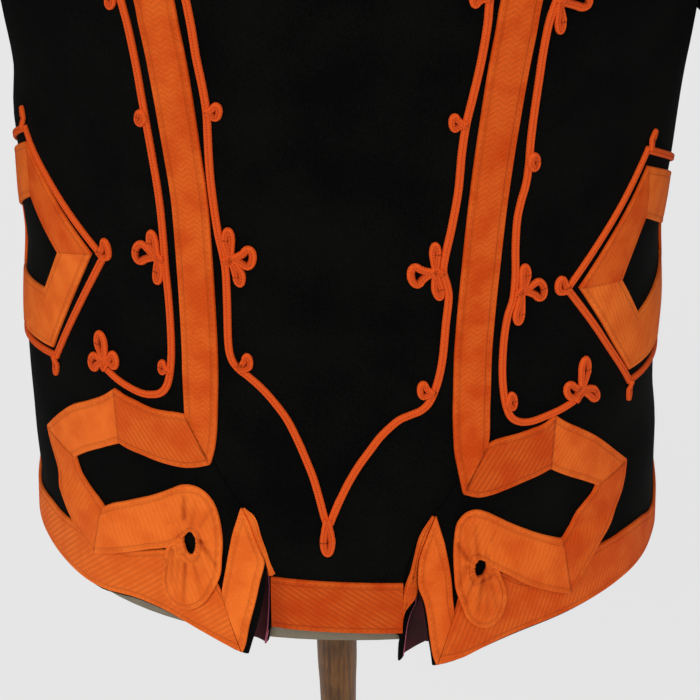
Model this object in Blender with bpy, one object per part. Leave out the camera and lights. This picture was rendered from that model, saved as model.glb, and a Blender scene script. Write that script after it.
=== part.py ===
"""Hussar jacket with a braided back, on a limbless dress form with a turned table stand.

Frame: metres, +Z up, origin under the middle of the stand's base. The jacket's front looks
along -Y and its back along +Y, so +X is the wearer's left.

The jacket is laid out in pattern coordinates, in millimetres:
u runs round the body from the centre back, positive towards the wearer's left,
h is the height above the hem, and t is the distance outwards from the cloth's outer face.
"""

import math

import bpy
import numpy as np

MM = 0.001

# Heights of the jacket above the floor and above its own hem
HEM_Z = 430.0
UNDERARM_H = 285.0
NECK_H = 527.0
COLLAR_TOP_H = 568.0

# Cloth and trimmings
SEAM_GAP = 0.3
CLOTH = 2.2
FACING_CLOTH = 1.2
TRIM_CLEARANCE = 0.7
TAPE_THICK = 1.3
TAPE_OVER_TAPE = 2.8
BACK_TAPE_WIDTH = 19.0
HEM_TAPE_WIDTH = 29.0
CORD_WIDTH = 3.6
CORD_TOP_WIDTH = 2.8
CORD_THICK = 1.8
STEM_THINNER = 0.12
TAPE_FROM_EDGE = 0.8
TAPE_FROM_HEM = 0.4
TAPE_FROM_SEAM = 0.6

# The jacket hangs lower on the wearer's right: rise in mm for each mm towards the left
HANG_SLOPE = 0.048
HANG_FULL_BELOW_H = 200.0
HANG_GONE_ABOVE_H = 400.0
NECK_DROP = 20.0
NECK_DROP_FROM_H = 400.0

# The vent corners stand away from the body
FLARE_OUT = 8.0
FLARE_RISE = 0.5
FLARE_FROM_U = 102.0
FLARE_WIDTH = 58.0
FLARE_FROM_H = 70.0
HEM_DIP = 8.0
HEM_DIP_FROM_U = 82.0
HEM_DIP_WIDTH = 38.0
HEM_DIP_GONE_H = 60.0

# Rings of the jacket's outer face: height, half width, back depth, front depth, roundness
TORSO_RINGS = (
    (-30.0, 167.0, 145.0, 134.0, 2.2),
    (0.0, 166.0, 144.5, 133.0, 2.2),
    (80.0, 162.3, 141.0, 131.0, 2.2),
    (160.0, 161.2, 140.3, 131.0, 2.2),
    (250.0, 163.0, 142.0, 135.0, 2.2),
    (300.0, 167.5, 146.5, 140.0, 2.2),
    (340.0, 173.0, 149.0, 142.0, 2.2),
    (385.0, 183.0, 141.0, 137.0, 2.2),
    (425.0, 192.0, 120.0, 117.0, 2.25),
    (450.0, 194.0, 102.0, 100.0, 2.25),
    (468.0, 186.0, 87.0, 88.0, 2.25),
    (483.0, 158.0, 76.0, 79.0, 2.2),
    (500.0, 114.0, 66.0, 72.0, 2.15),
    (514.0, 84.0, 59.0, 68.0, 2.1),
    (527.0, 68.0, 54.0, 65.0, 2.1),
    (545.0, 64.0, 52.0, 62.0, 2.05),
    (580.0, 62.0, 51.0, 60.0, 2.05),
)

# The seam under each back tape: height, distance from the centre back
BACK_SEAM = (
    (-30.0, 32.5),
    (36.0, 32.5),
    (45.0, 34.0),
    (55.0, 37.0),
    (66.0, 41.0),
    (76.0, 47.0),
    (88.0, 55.5),
    (100.0, 61.0),
    (118.0, 64.5),
    (160.0, 64.5),
    (200.0, 65.0),
    (240.0, 67.5),
    (280.0, 71.0),
    (310.0, 75.0),
    (340.0, 80.5),
    (362.0, 87.0),
    (385.0, 99.0),
    (407.0, 117.0),
    (424.0, 142.0),
    (434.0, 168.0),
)
BACK_SEAM_TOP_H = 440.0

# The open edge of each vent on the side panel: height, distance from the centre back
VENT_EDGE = ((-10.0, 45.0), (9.0, 43.0), (21.0, 41.0), (33.0, 38.5), (45.0, 34.3))
TAIL_BOTTOM_H = 7.0

# Armhole loop on the side of the body
ARMHOLE_MID_H = 380.0
ARMHOLE_HALF_HEIGHT = 95.0
ARMHOLE_HALF_DEPTH = 57.0
ARMHOLE_EASE = 1.0

# Sleeve rings below the head: outwards, forwards, height, half width, half depth
SLEEVE_RINGS = (
    (230.0, 2.0, 288.0, 58.0, 66.0),
    (239.0, 2.0, 245.0, 55.0, 61.0),
    (248.0, 1.0, 200.0, 52.0, 57.0),
    (257.0, -3.0, 155.0, 50.0, 54.0),
    (265.0, -13.0, 110.0, 48.0, 51.0),
    (272.0, -27.0, 65.0, 45.0, 48.0),
    (278.0, -43.0, 20.0, 42.0, 45.0),
    (283.0, -60.0, -25.0, 40.0, 43.0),
    (286.0, -71.0, -52.0, 39.0, 42.0),
)
SLEEVE_HEAD_STEPS = 3
SLEEVE_STANDS_OFF = 3.0
SLEEVE_BACK_SEAM = 110.0
SLEEVE_FRONT_SEAM = -75.0
SLEEVE_COLUMNS = 8
SLEEVE_LOOP_EASE = 1.1
SLEEVE_LEAVES_AT_TOP = (0.95, 0.0, -0.3)
SLEEVE_LEAVES_AT_ARMPIT = (0.5, 0.0, -0.85)
CUFF_TAPE_FROM = 0.35

# Left knot of the back tape: u and h of its near edge, then of its far edge, and how much
# lower the same place lies on the wearer's right
KNOT_STATIONS = (
    (55.5, 131.0, 73.7, 131.0, 8.0),
    (56.3, 114.0, 73.6, 119.5, 8.0),
    (58.3, 103.0, 73.6, 118.3, 8.0),
    (61.0, 90.0, 73.6, 117.2, 8.0),
    (70.0, 86.5, 81.0, 116.5, 6.0),
    (81.0, 85.5, 90.0, 116.5, 4.0),
    (93.0, 86.0, 99.5, 117.0, 2.0),
    (104.0, 88.0, 106.5, 118.0, 1.0),
    (111.5, 89.5, 112.0, 119.5, 0.0),
    (118.0, 84.5, 120.5, 112.5, 0.0),
    (126.0, 78.0, 132.0, 104.0, 0.0),
    (134.0, 72.0, 147.0, 92.5, 0.0),
    (142.3, 66.5, 172.5, 67.5, 0.0),
    (138.5, 60.0, 168.5, 56.0, 0.0),
    (133.0, 55.0, 160.5, 42.5, 0.0),
    (127.0, 51.0, 148.0, 29.5, 0.0),
    (121.0, 48.0, 130.5, 16.5, 0.0),
    (111.0, 54.0, 117.5, 24.5, 1.0),
    (100.0, 61.0, 105.0, 31.0, 2.0),
    (89.0, 68.0, 94.0, 36.5, 4.0),
    (81.0, 74.0, 86.0, 41.5, 5.0),
    (76.0, 78.0, 77.5, 48.5, 5.0),
    (70.5, 79.5, 73.5, 49.5, 5.0),
    (64.5, 77.0, 71.0, 48.5, 5.0),
    (59.5, 69.0, 69.8, 46.0, 4.0),
    (57.3, 56.0, 69.6, 43.5, 4.0),
    (57.0, 42.0, 70.0, 41.0, 3.0),
    (58.5, 28.0, 71.2, 39.2, 1.0),
    (63.5, 16.0, 73.0, 38.5, 0.0),
    (71.5, 10.5, 74.6, 38.8, 0.0),
    (80.0, 10.5, 76.0, 39.6, 0.0),
    (87.0, 15.0, 77.0, 40.8, 0.0),
    (88.5, 26.0, 77.6, 41.8, 0.0),
    (88.5, 36.8, 78.0, 42.6, 0.0),
)
KNOT_LIFT_FULL_H = 35.0
KNOT_LIFT_GONE_H = 45.0

# Vent tape from the hem corner to its point: near edge, far edge
VENT_TAPE_STATIONS = (
    (45.3, -8.2, 56.4, 28.0),
    (43.7, 4.0, 55.6, 34.0),
    (41.5, 18.0, 54.6, 39.0),
    (38.8, 33.0, 53.7, 44.0),
    (35.0, 45.5, 52.7, 51.0),
    (37.6, 56.0, 50.9, 59.5),
    (41.4, 66.0, 49.0, 67.0),
    (44.8, 73.0, 46.6, 73.5),
)

# Lining gore behind each vent: heights, and how far it reaches past the edges beside it
VENT_LINING_HEIGHTS = (-5.0, 7.9, 26.0, 38.0)
VENT_LINING_UNDER = 0.8
VENT_LINING_HIDDEN = 7.0
VENT_LINING_TUCKED = 4.0
VENT_LINING_FOLD = 1.0

# Soutache cords: u, h and how much lower the same place lies on the wearer's right
OUTER_CORD = (
    (184.0, 423.0, 0.0),
    (172.0, 419.0, 0.0),
    (150.0, 409.0, 0.0),
    (129.0, 393.0, 0.0),
    (112.0, 373.0, 0.0),
    (102.0, 353.0, 2.0),
    (95.5, 336.0, 4.0),
    (91.0, 316.0, 6.0),
    (89.0, 298.0, 8.0),
    (87.0, 282.0, 10.0),
    (84.5, 266.0, 11.0),
    (82.3, 248.0, 10.0),
    (80.8, 224.0, 9.0),
    (80.0, 204.0, 8.0),
    (79.0, 186.0, 8.0),
    (78.2, 162.0, 8.0),
    (79.5, 141.0, 8.0),
    (83.0, 130.0, 8.0),
    (90.0, 124.5, 3.0),
    (98.0, 124.0, 0.0),
    (108.0, 125.5, 0.0),
    (117.5, 129.5, 0.0),
)
INNER_CORD = (
    (182.0, 456.0, 0.0),
    (162.0, 451.0, 0.0),
    (134.0, 440.0, 0.0),
    (106.0, 420.0, 0.0),
    (87.0, 395.0, 0.0),
    (73.0, 369.0, 0.0),
    (65.0, 341.0, 0.0),
    (60.5, 314.0, 0.0),
    (57.5, 292.0, 0.0),
    (56.0, 272.0, 0.0),
    (55.0, 248.0, 1.0),
    (53.2, 226.0, 2.0),
    (50.5, 210.0, 2.0),
    (50.0, 192.0, 3.0),
    (50.0, 164.0, 6.0),
    (47.5, 153.5, 8.0),
    (42.0, 147.5, 9.0),
    (34.0, 140.5, 8.0),
    (26.5, 131.5, 6.0),
    (20.0, 119.0, 4.0),
    (14.0, 104.0, 3.0),
    (9.0, 89.0, 2.0),
)
TEARDROP_U = 4.0
TEARDROP_H = 60.0
TEARDROP_HALF = (4.2, 11.5)
TEARDROP_HOLE = (1.4, 6.5)
TEARDROP_SIDES = 12
LOOP_SIDES = 7
LOOP_TURN = 0.37
LOOP_SINKS = 0.05
LOOP_STANDS = 0.15

# Eyes and trefoil loops beside the cords: u, h, half width, half height, drop on the right
OUTER_LOOPS = (
    (121.0, 377.0, 4.0, 4.0, 0.0),
    (101.5, 329.0, 4.2, 4.8, 4.0),
    (110.0, 334.0, 4.5, 4.5, 4.0),
    (103.5, 342.0, 4.0, 5.0, 4.0),
    (88.5, 268.5, 4.2, 4.2, 11.0),
    (87.0, 210.0, 3.8, 5.2, 9.0),
    (93.0, 200.0, 4.6, 5.0, 9.0),
    (85.0, 191.0, 3.6, 4.8, 12.0),
    (84.0, 141.0, 3.8, 5.0, 9.0),
    (120.5, 142.0, 3.8, 7.5, 1.5),
    (126.0, 130.0, 4.3, 4.3, 0.0),
    (115.0, 134.5, 3.6, 3.6, 0.0),
)
INNER_LOOPS = (
    (118.0, 436.0, 4.0, 4.0, 0.0),
    (72.0, 402.0, 4.5, 4.5, 0.0),
    (80.0, 406.0, 4.0, 5.0, 0.0),
    (70.0, 391.0, 4.0, 4.6, 0.0),
    (59.5, 340.0, 4.0, 4.0, 0.0),
    (52.0, 279.5, 4.1, 4.1, 0.0),
    (48.0, 218.0, 3.8, 5.0, 2.0),
    (39.5, 208.0, 4.6, 4.8, 3.0),
    (44.5, 197.5, 3.8, 4.8, 0.0),
    (41.0, 153.5, 4.2, 4.2, 9.0),
)

# Lozenge on each flank: centre u and h, half diagonals of the tape's outer edge, half
# diagonals of its inner edge, and how far its back corner is turned up in degrees
LOZENGES = {
    "left": (172.5, 173.5, 52.0, 51.0, 24.0, 22.3, 17.0),
    "right": (172.0, 177.0, 54.0, 62.0, 22.0, 28.0, 6.0),
}
LOZENGE_CORD_OUT = 8.0
LOZENGE_LOOPS_OUT = 12.0
LOZENGE_EYE = (5.0, 5.0)
LOZENGE_LONG_LOOP = (3.4, 7.5)

# Front fastening, measured from the centre front
FRONT_TAPE_WIDTH = 19.0
FROG_HEIGHTS = (95.0, 190.0, 285.0, 380.0)
FROG_INNER_V = 5.0
FROG_OUTER_V = 105.0
FROG_HALF_HEIGHT = 4.6
FROG_STEPS_V = (21.5, 30.0, 55.0, 80.0)
BUTTON_RADIUS = 9.0
BUTTON_HEIGHT = 7.0
BUTTON_BASE_T = 4.6
BUTTON_SIDES = 8
BUTTON_PROFILE = ((0.8, 0.0), (1.0, 0.3), (0.75, 0.75), (0.3, 1.0))

# Dress form and stand
FORM_BOTTOM_H = -2.0
FORM_INSET = 5.0
FORM_SHOULDER_INSET = 4.8
FORM_NECK_TOP_H = 556.0
FORM_SIDES = 26
FORM_SHOULDER_FROM_H = 330.0
FORM_SHOULDER_SPAN = 120.0
NECK_CAP_RISE = 7.0
NECK_CAP_PROFILE = ((3.4, 0.0), (6.0, 0.6), (14.0, 1.0))
BASE_SIDES = 28
POLE_SIDES = 12
BASE_PROFILE = (
    (150.0, 0.0),
    (160.0, 3.0),
    (160.0, 11.0),
    (152.0, 15.0),
    (140.0, 18.0),
    (60.0, 24.0),
    (30.0, 30.0),
    (26.0, 36.0),
)
POLE_PROFILE = (
    (22.0, 0.0),
    (22.0, 6.0),
    (15.0, 12.0),
    (17.5, 22.0),
    (12.5, 32.0),
    (11.5, 90.0),
    (10.0, 200.0),
    (9.8, 262.0),
    (11.6, 322.0),
    (12.0, 352.0),
    (10.5, 370.0),
    (15.0, 378.0),
    (24.0, 384.0),
)

# Finishes: colour and roughness
WOOL = ("#101110", 0.9)
LINING = ("#5A0A14", 0.6)
BRAID = ("#E8702A", 0.65)
SOUTACHE = ("#E05A20", 0.6)
WOOD = ("#5E4322", 0.45)
FORM_COVER = ("#8A8070", 0.9)


def smooth_step(x):
    """Goes from 0 to 1 with level ends as x goes from 0 to 1."""
    x = np.clip(x, 0.0, 1.0)
    return x * x * (3.0 - 2.0 * x)


def smooth_table(x, xs, ys):
    """Reads a table with a smooth curve through its rows that doesn't overshoot them."""
    xs = np.asarray(xs, float)
    ys = np.asarray(ys, float)
    steps = np.diff(xs)
    slopes = np.diff(ys) / steps
    tangents = np.concatenate([slopes[:1], (slopes[1:] + slopes[:-1]) / 2.0, slopes[-1:]])
    flat = slopes[1:] * slopes[:-1] <= 0.0
    tangents[1:-1][flat] = 0.0
    limit = 3.0 * np.minimum(np.abs(slopes[1:]), np.abs(slopes[:-1]))
    tangents[1:-1] = np.clip(tangents[1:-1], -limit, limit)
    x = np.clip(x, xs[0], xs[-1])
    k = np.clip(np.searchsorted(xs, x, side="right") - 1, 0, len(steps) - 1)
    f = (x - xs[k]) / steps[k]
    start = (1 + 2 * f) * (1 - f) ** 2 * ys[k] + f * (1 - f) ** 2 * steps[k] * tangents[k]
    end = f * f * (3 - 2 * f) * ys[k + 1] + f * f * (f - 1) * steps[k] * tangents[k + 1]
    return start + end


class Torso:
    """The jacket's outer face, read in pattern coordinates."""

    ROW_STEP = 5.0
    ANGLES = 361
    SHARES = 401
    SLOPE_STEP = 1.5

    def __init__(self):
        self.low = TORSO_RINGS[0][0]
        rows = int((TORSO_RINGS[-1][0] - self.low) / self.ROW_STEP) + 1
        self.heights = self.low + self.ROW_STEP * np.arange(rows)
        self.angles = np.linspace(0.0, math.pi, self.ANGLES)
        self.arcs = []
        self.shares = []
        for height in self.heights:
            x, y = self.ring_point(self.angles, height)
            arc = np.concatenate([[0.0], np.cumsum(np.hypot(np.diff(x), np.diff(y)))])
            self.arcs.append(arc)
            share = np.linspace(0.0, arc[-1], self.SHARES)
            self.shares.append(np.interp(share, arc, self.angles))
        self.arcs = np.array(self.arcs)
        self.shares = np.array(self.shares)

    def ring_sizes(self, h):
        """Half width, back depth, front depth and roundness at a height."""
        table = np.array(TORSO_RINGS)
        return [smooth_table(h, table[:, 0], table[:, k]) for k in range(1, 5)]

    def ring_point(self, angle, h):
        """The ring's outline at an angle from the centre back."""
        half_width, back, front, roundness = self.ring_sizes(h)
        power = 2.0 / roundness
        across = np.sin(angle)
        along = np.cos(angle)
        depth = np.where(along > 0.0, back, front)
        x = half_width * np.sign(across) * np.abs(across) ** power
        return x, depth * np.sign(along) * np.abs(along) ** power

    def half_round(self, h):
        """Distance round one side, from the centre back to the centre front."""
        return np.interp(h, self.heights, self.arcs[:, -1])

    def angle_of(self, u, h):
        """Angle on the ring at a distance round it."""
        share = np.clip(np.abs(u) / self.half_round(h), 0.0, 1.0) * (self.SHARES - 1)
        column = np.clip(share.astype(int), 0, self.SHARES - 2)
        row_place = np.clip((h - self.low) / self.ROW_STEP, 0.0, len(self.heights) - 1.001)
        row = row_place.astype(int)
        across = share - column
        up = row_place - row
        below = self.shares[row, column] * (1 - across) + self.shares[row, column + 1] * across
        above = (
            self.shares[row + 1, column] * (1 - across)
            + self.shares[row + 1, column + 1] * across
        )
        return np.sign(u) * (below * (1 - up) + above * up)

    def distance_at(self, angle, h):
        """Distance round the ring at one angle from the centre back."""
        by_row = [np.interp(angle, self.angles, arc) for arc in self.arcs]
        return float(np.interp(h, self.heights, by_row))

    def side_u(self, h):
        """The side seam's distance round the ring."""
        return self.distance_at(math.pi / 2.0, h)

    def skin(self, u, h, hang):
        """Points of the outer face, with or without the way the jacket hangs."""
        half = self.half_round(h)
        angle = self.angle_of((u + half) % (2.0 * half) - half, h)
        x, y = self.ring_point(angle, h)
        drop = NECK_DROP * smooth_step((h - NECK_DROP_FROM_H) / (NECK_H - NECK_DROP_FROM_H))
        z = HEM_Z + h - drop * (1.0 - np.cos(angle)) / 2.0
        if hang:
            span = HANG_GONE_ABOVE_H - HANG_FULL_BELOW_H
            z = z + HANG_SLOPE * smooth_step((HANG_GONE_ABOVE_H - h) / span) * x
        return np.stack([x, y, z], axis=-1)

    def at(self, u, h, t, hang=True, flare=False):
        """Points at a distance t outside the outer face, in millimetres."""
        u, h, t = np.broadcast_arrays(*(np.asarray(v, float) for v in (u, h, t)))
        if flare:
            out = flare_out(u, h)
            h = h + FLARE_RISE * out
            t = t + out
        step = self.SLOPE_STEP
        round_way = self.skin(u + step, h, hang) - self.skin(u - step, h, hang)
        up_way = self.skin(u, h + step, hang) - self.skin(u, h - step, hang)
        normal = np.cross(up_way, round_way)
        normal /= np.linalg.norm(normal, axis=-1, keepdims=True)
        return self.skin(u, h, hang) + normal * t[..., None]


TORSO = Torso()


def flare_out(u, h):
    """How far the side panels stand away from the body near the vents."""
    near = smooth_step((FLARE_FROM_U - np.abs(u)) / FLARE_WIDTH)
    return FLARE_OUT * near * smooth_step((FLARE_FROM_H - h) / FLARE_FROM_H)


def hem_low(u):
    """Height of the side panels' lower edge, which dips at the vent corners."""
    return -HEM_DIP * smooth_step((HEM_DIP_FROM_U - np.abs(u)) / HEM_DIP_WIDTH)


def back_seam(h):
    """Distance of the side-back seam from the centre back."""
    table = np.array(BACK_SEAM + ((BACK_SEAM_TOP_H, armhole_u(BACK_SEAM_TOP_H, 1.0)),))
    return smooth_table(h, table[:, 0], table[:, 1])


def armhole_u(h, towards_back):
    """Distance of the armhole's back edge (1) or front edge (-1) round the body."""
    share = 1.0 - ((h - ARMHOLE_MID_H) / ARMHOLE_HALF_HEIGHT) ** 2
    y = ARMHOLE_HALF_DEPTH * math.sqrt(max(share, 0.0))
    return loop_u(towards_back * y, h)


def loop_u(y, h):
    """Distance round the body of the point that lies y behind the side line."""
    _, back, front, roundness = TORSO.ring_sizes(h)
    depth = back if y > 0.0 else front
    cosine = min(abs(y) / float(depth), 1.0) ** (float(roundness) / 2.0)
    angle = math.acos(cosine) if y > 0.0 else math.pi - math.acos(cosine)
    return TORSO.distance_at(angle, h)


def linear(code):
    """Linear colour of an sRGB hex code."""
    parts = [int(code[k : k + 2], 16) / 255.0 for k in (1, 3, 5)]
    return [c / 12.92 if c <= 0.04045 else ((c + 0.055) / 1.055) ** 2.4 for c in parts] + [1.0]


def make_material(name, code, roughness, metallic=0.0):
    """One plain finish."""
    material = bpy.data.materials.new(name)
    material.use_nodes = True
    shader = material.node_tree.nodes["Principled BSDF"]
    shader.inputs["Base Color"].default_value = linear(code)
    shader.inputs["Roughness"].default_value = roughness
    shader.inputs["Metallic"].default_value = metallic
    material.diffuse_color = linear(code)
    return material


def add_object(name, points, faces, finish):
    """Adds a closed mesh, given in millimetres, with its faces turned outwards."""
    points = np.asarray(points, float)
    volume = 0.0
    for face in faces:
        for k in range(1, len(face) - 1):
            a, b, c = points[face[0]], points[face[k]], points[face[k + 1]]
            volume += float(np.dot(a, np.cross(b, c)))
    if volume < 0.0:
        faces = [tuple(reversed(face)) for face in faces]
    mesh = bpy.data.meshes.new(name)
    mesh.from_pydata([tuple(p) for p in points * MM], [], [tuple(map(int, f)) for f in faces])
    mesh.update()
    mesh.shade_smooth()
    mesh.set_sharp_from_angle(angle=math.radians(35.0))
    mesh.materials.append(make_material(name, *finish))
    obj = bpy.data.objects.new(name, mesh)
    bpy.context.scene.collection.objects.link(obj)
    return obj


def wall_mesh(outer, inner, closed=False):
    """Points and faces of a wall between two grids; closed joins the last column to the first."""
    rows, cols = outer.shape[:2]
    points = np.concatenate([outer.reshape(-1, 3), inner.reshape(-1, 3)])
    count = rows * cols

    def at(i, j):
        return i * cols + j % cols

    faces = []
    last = cols if closed else cols - 1
    for i in range(rows - 1):
        for j in range(last):
            quad = (at(i, j), at(i + 1, j), at(i + 1, j + 1), at(i, j + 1))
            faces.append(quad)
            faces.append(tuple(count + k for k in reversed(quad)))
    bottom = [at(0, j) for j in range(last + 1)]
    top = [at(rows - 1, j) for j in range(last, -1, -1)]
    if closed:
        runs = [bottom, top]
    else:
        right = [at(i, cols - 1) for i in range(rows)]
        left = [at(i, 0) for i in range(rows - 1, -1, -1)]
        runs = [bottom, right, top, left]
    for run in runs:
        for a, b in zip(run, run[1:]):
            faces.append((a, b, count + b, count + a))
    return points, faces


def stacked_rings(rings):
    """Points and faces of a solid through closed rings, with a flat fan at each end."""
    rings = np.asarray(rings, float)
    rows, cols = rings.shape[:2]
    points = np.concatenate([rings.reshape(-1, 3), [rings[0].mean(0)], [rings[-1].mean(0)]])
    faces = []
    for j in range(cols):
        following = (j + 1) % cols
        faces.append((rows * cols, following, j))
        top = (rows - 1) * cols
        faces.append((rows * cols + 1, top + j, top + following))
        for i in range(rows - 1):
            a = i * cols
            faces.append((a + j, a + following, a + cols + following, a + cols + j))
    return points, faces


def turned(profile, sides, lift):
    """Rings of a turned piece whose profile gives radius and height."""
    angles = np.arange(sides) * 2.0 * math.pi / sides
    return [
        np.stack([r * np.cos(angles), r * np.sin(angles), np.full(sides, z + lift)], -1)
        for r, z in profile
    ]


def panel(name, heights, near, far, columns, finish, side=1.0, flare=False):
    """A cut piece of cloth between two edges that are functions of height."""
    shares = np.asarray(columns, float)
    h = np.repeat(np.asarray(heights, float)[:, None], len(shares), 1)
    start = np.array([near(v) for v in heights])[:, None]
    end = np.array([far(v) for v in heights])[:, None]
    u = start + (end - start) * shares[None, :]
    if flare:
        h = h + hem_low(u) * np.clip(1.0 - h / HEM_DIP_GONE_H, 0.0, 1.0)
    outer = TORSO.at(side * u, h, 0.0, flare=flare)
    inner = TORSO.at(side * u, h, -CLOTH, flare=flare)
    points, faces = wall_mesh(outer, inner)
    return add_object(name, points, faces, finish)


def even(count):
    """Evenly spaced shares from 0 to 1."""
    return np.linspace(0.0, 1.0, count + 1)


def build_back(finish):
    """The centre back with its tail, from neck to hem in one piece."""
    shoulder = ARMHOLE_MID_H + ARMHOLE_HALF_HEIGHT

    def edge(h):
        if h <= BACK_SEAM_TOP_H:
            return float(back_seam(h)) - SEAM_GAP / 2.0
        if h < shoulder:
            return armhole_u(h, 1.0) - ARMHOLE_EASE
        return TORSO.side_u(h) - SEAM_GAP / 2.0

    heights = [TAIL_BOTTOM_H, 36, 45, 56, 68, 80, 92, 106, 130, 170, 215, 260, 300, 335]
    heights += [362, 385, 407, 424, 434, 439, 450, 460, 468, 476, 488, 500, 513, NECK_H]
    closer_at_ends = (1.0 - np.cos(np.pi * even(12))) / 2.0
    panel("back_panel", heights, lambda h: -edge(h), edge, closer_at_ends, finish)


def build_side_back(name, side, finish):
    """The piece between the back seam and the side seam, with one side of the vent."""
    vent = np.array(VENT_EDGE)

    def near(h):
        if h < VENT_EDGE[-1][0]:
            return float(smooth_table(h, vent[:, 0], vent[:, 1]))
        return float(back_seam(h)) + SEAM_GAP / 2.0

    def far(h):
        if h <= UNDERARM_H:
            return TORSO.side_u(h) - SEAM_GAP / 2.0
        return max(armhole_u(h, 1.0) - SEAM_GAP / 2.0, near(h) + 1.0)

    heights = [0, 14, 30, 45, 56, 68, 80, 92, 106, 130, 170, 215, 250]
    heights += [285, 289, 298, 312, 335, 362, 385, 407, 424, 434]
    columns = [0.0, 0.07, 0.15, 0.24, 0.35, 0.5, 0.66, 0.83, 1.0]
    panel(name, heights, near, far, columns, finish, side, flare=True)


def build_front(name, side, finish):
    """One front, from the side seam to the centre front."""
    shoulder = ARMHOLE_MID_H + ARMHOLE_HALF_HEIGHT

    def near(h):
        if UNDERARM_H < h < shoulder:
            return armhole_u(h, -1.0) + ARMHOLE_EASE
        return TORSO.side_u(h) + SEAM_GAP / 2.0

    def far(h):
        return float(TORSO.half_round(h)) - SEAM_GAP / 2.0

    heights = [0, 40, 80, 120, 165, 210, 250, 285, 289, 298, 312, 335, 362, 385]
    heights += [407, 430, 450, 460, 468, 476, 488, 500, 513, NECK_H]
    closer_at_side = 1.0 - np.cos(np.pi / 2.0 * even(8))
    panel(name, heights, near, far, closer_at_side, finish, side)


def build_collar(finish):
    """Stand collar, open at the centre front."""
    heights = np.array([NECK_H + SEAM_GAP + 0.2, 545.0, COLLAR_TOP_H])
    points, faces = collar_wall(heights, 0.0, -CLOTH)
    add_object("collar", points, faces, finish)


def collar_wall(heights, outer_t, inner_t):
    """A wall round the neck between two distances from the collar's outer face."""
    h = np.repeat(heights[:, None], 25, 1)
    u = (TORSO.half_round(h) - 1.0) * np.linspace(-1.0, 1.0, 25)[None, :]
    return wall_mesh(TORSO.at(u, h, outer_t), TORSO.at(u, h, inner_t))


def build_collar_tape(finish):
    """Tape round the collar's upper edge."""
    heights = np.array([COLLAR_TOP_H - BACK_TAPE_WIDTH - 1.0, COLLAR_TOP_H - 1.0])
    top = TRIM_CLEARANCE + TAPE_THICK
    points, faces = collar_wall(heights, top, TRIM_CLEARANCE)
    add_object("collar_tape", points, faces, finish)


def sleeve_frames():
    """Centre, outward axis and backward axis of each sleeve ring below the head."""
    rings = np.array(SLEEVE_RINGS)
    centres = rings[:, :3]
    way = np.gradient(centres, axis=0)
    way /= np.linalg.norm(way, axis=1)[:, None]
    out = np.array([1.0, 0.0, 0.0]) - way * way[:, :1]
    out /= np.linalg.norm(out, axis=1)[:, None]
    back = np.cross(way, out)
    back *= np.sign(back[:, 1])[:, None]
    return centres, way, out, back


def sleeve_ring(place, angles, grow, side):
    """Points of the sleeve at a ring place, which may fall between two rows."""
    centres, _, out, back = sleeve_frames()
    sizes = np.array(SLEEVE_RINGS)[:, 3:]
    rows = np.arange(len(centres))
    centre = np.array([np.interp(place, rows, centres[:, k]) for k in range(3)])
    outward = np.array([np.interp(place, rows, out[:, k]) for k in range(3)])
    backward = np.array([np.interp(place, rows, back[:, k]) for k in range(3)])
    half_width = np.interp(place, rows, sizes[:, 0]) + grow
    half_depth = np.interp(place, rows, sizes[:, 1]) + grow
    across = half_width * np.cos(angles)[:, None] * outward
    along = half_depth * np.sin(angles)[:, None] * backward
    points = centre + across + along + np.array([0.0, 0.0, HEM_Z])
    return points * np.array([side, 1.0, 1.0])


def sleeve_grid(angles, grow, side):
    """The sleeve from the armhole to the cuff at the given angles round it."""
    _, way, _, _ = sleeve_frames()
    loop = []
    for angle in angles:
        y = (ARMHOLE_HALF_DEPTH + SLEEVE_LOOP_EASE + grow) * math.sin(angle)
        reach = ARMHOLE_HALF_HEIGHT + SLEEVE_LOOP_EASE + grow
        h = ARMHOLE_MID_H + reach * math.cos(angle)
        loop.append(TORSO.at(side * loop_u(y, h), h, SLEEVE_STANDS_OFF))
    loop = np.array(loop)
    first = sleeve_ring(0.0, angles, grow, side)
    low = ((1.0 - np.cos(angles)) / 2.0)[:, None]
    leave = (1.0 - low) * np.array(SLEEVE_LEAVES_AT_TOP) + low * np.array(SLEEVE_LEAVES_AT_ARMPIT)
    leave /= np.linalg.norm(leave, axis=1)[:, None]
    flip = np.array([side, 1.0, 1.0])
    reach = np.linalg.norm(first - loop, axis=1)[:, None]
    rows = []
    for k in range(SLEEVE_HEAD_STEPS):
        f = k / SLEEVE_HEAD_STEPS
        bend = (
            (1 + 2 * f) * (1 - f) ** 2 * loop
            + f * (1 - f) ** 2 * reach * leave * flip
            + f * f * (3 - 2 * f) * first
            + f * f * (f - 1) * reach * way[0] * flip
        )
        rows.append(bend)
    for place in range(len(SLEEVE_RINGS)):
        rows.append(sleeve_ring(float(place), angles, grow, side))
    return np.array(rows)


def sleeve_angles():
    """Angles of the top sleeve and of the under sleeve, 0 at the outside and 90 at the back."""
    gap = math.degrees(SEAM_GAP / 100.0)
    top = np.linspace(SLEEVE_FRONT_SEAM + gap, SLEEVE_BACK_SEAM - gap, SLEEVE_COLUMNS + 1)
    under = np.linspace(
        SLEEVE_BACK_SEAM + gap, SLEEVE_FRONT_SEAM + 360.0 - gap, SLEEVE_COLUMNS + 1
    )
    return np.radians(top), np.radians(under)


def build_sleeve(label, side, finish):
    """A two-piece sleeve, hollow and open at both ends."""
    for name, angles in zip(("top_sleeve", "under_sleeve"), sleeve_angles()):
        outer = sleeve_grid(angles, 0.0, side)
        inner = sleeve_grid(angles, -CLOTH, side)
        points, faces = wall_mesh(outer, inner)
        add_object(f"{name}_{label}", points, faces, finish)


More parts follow.
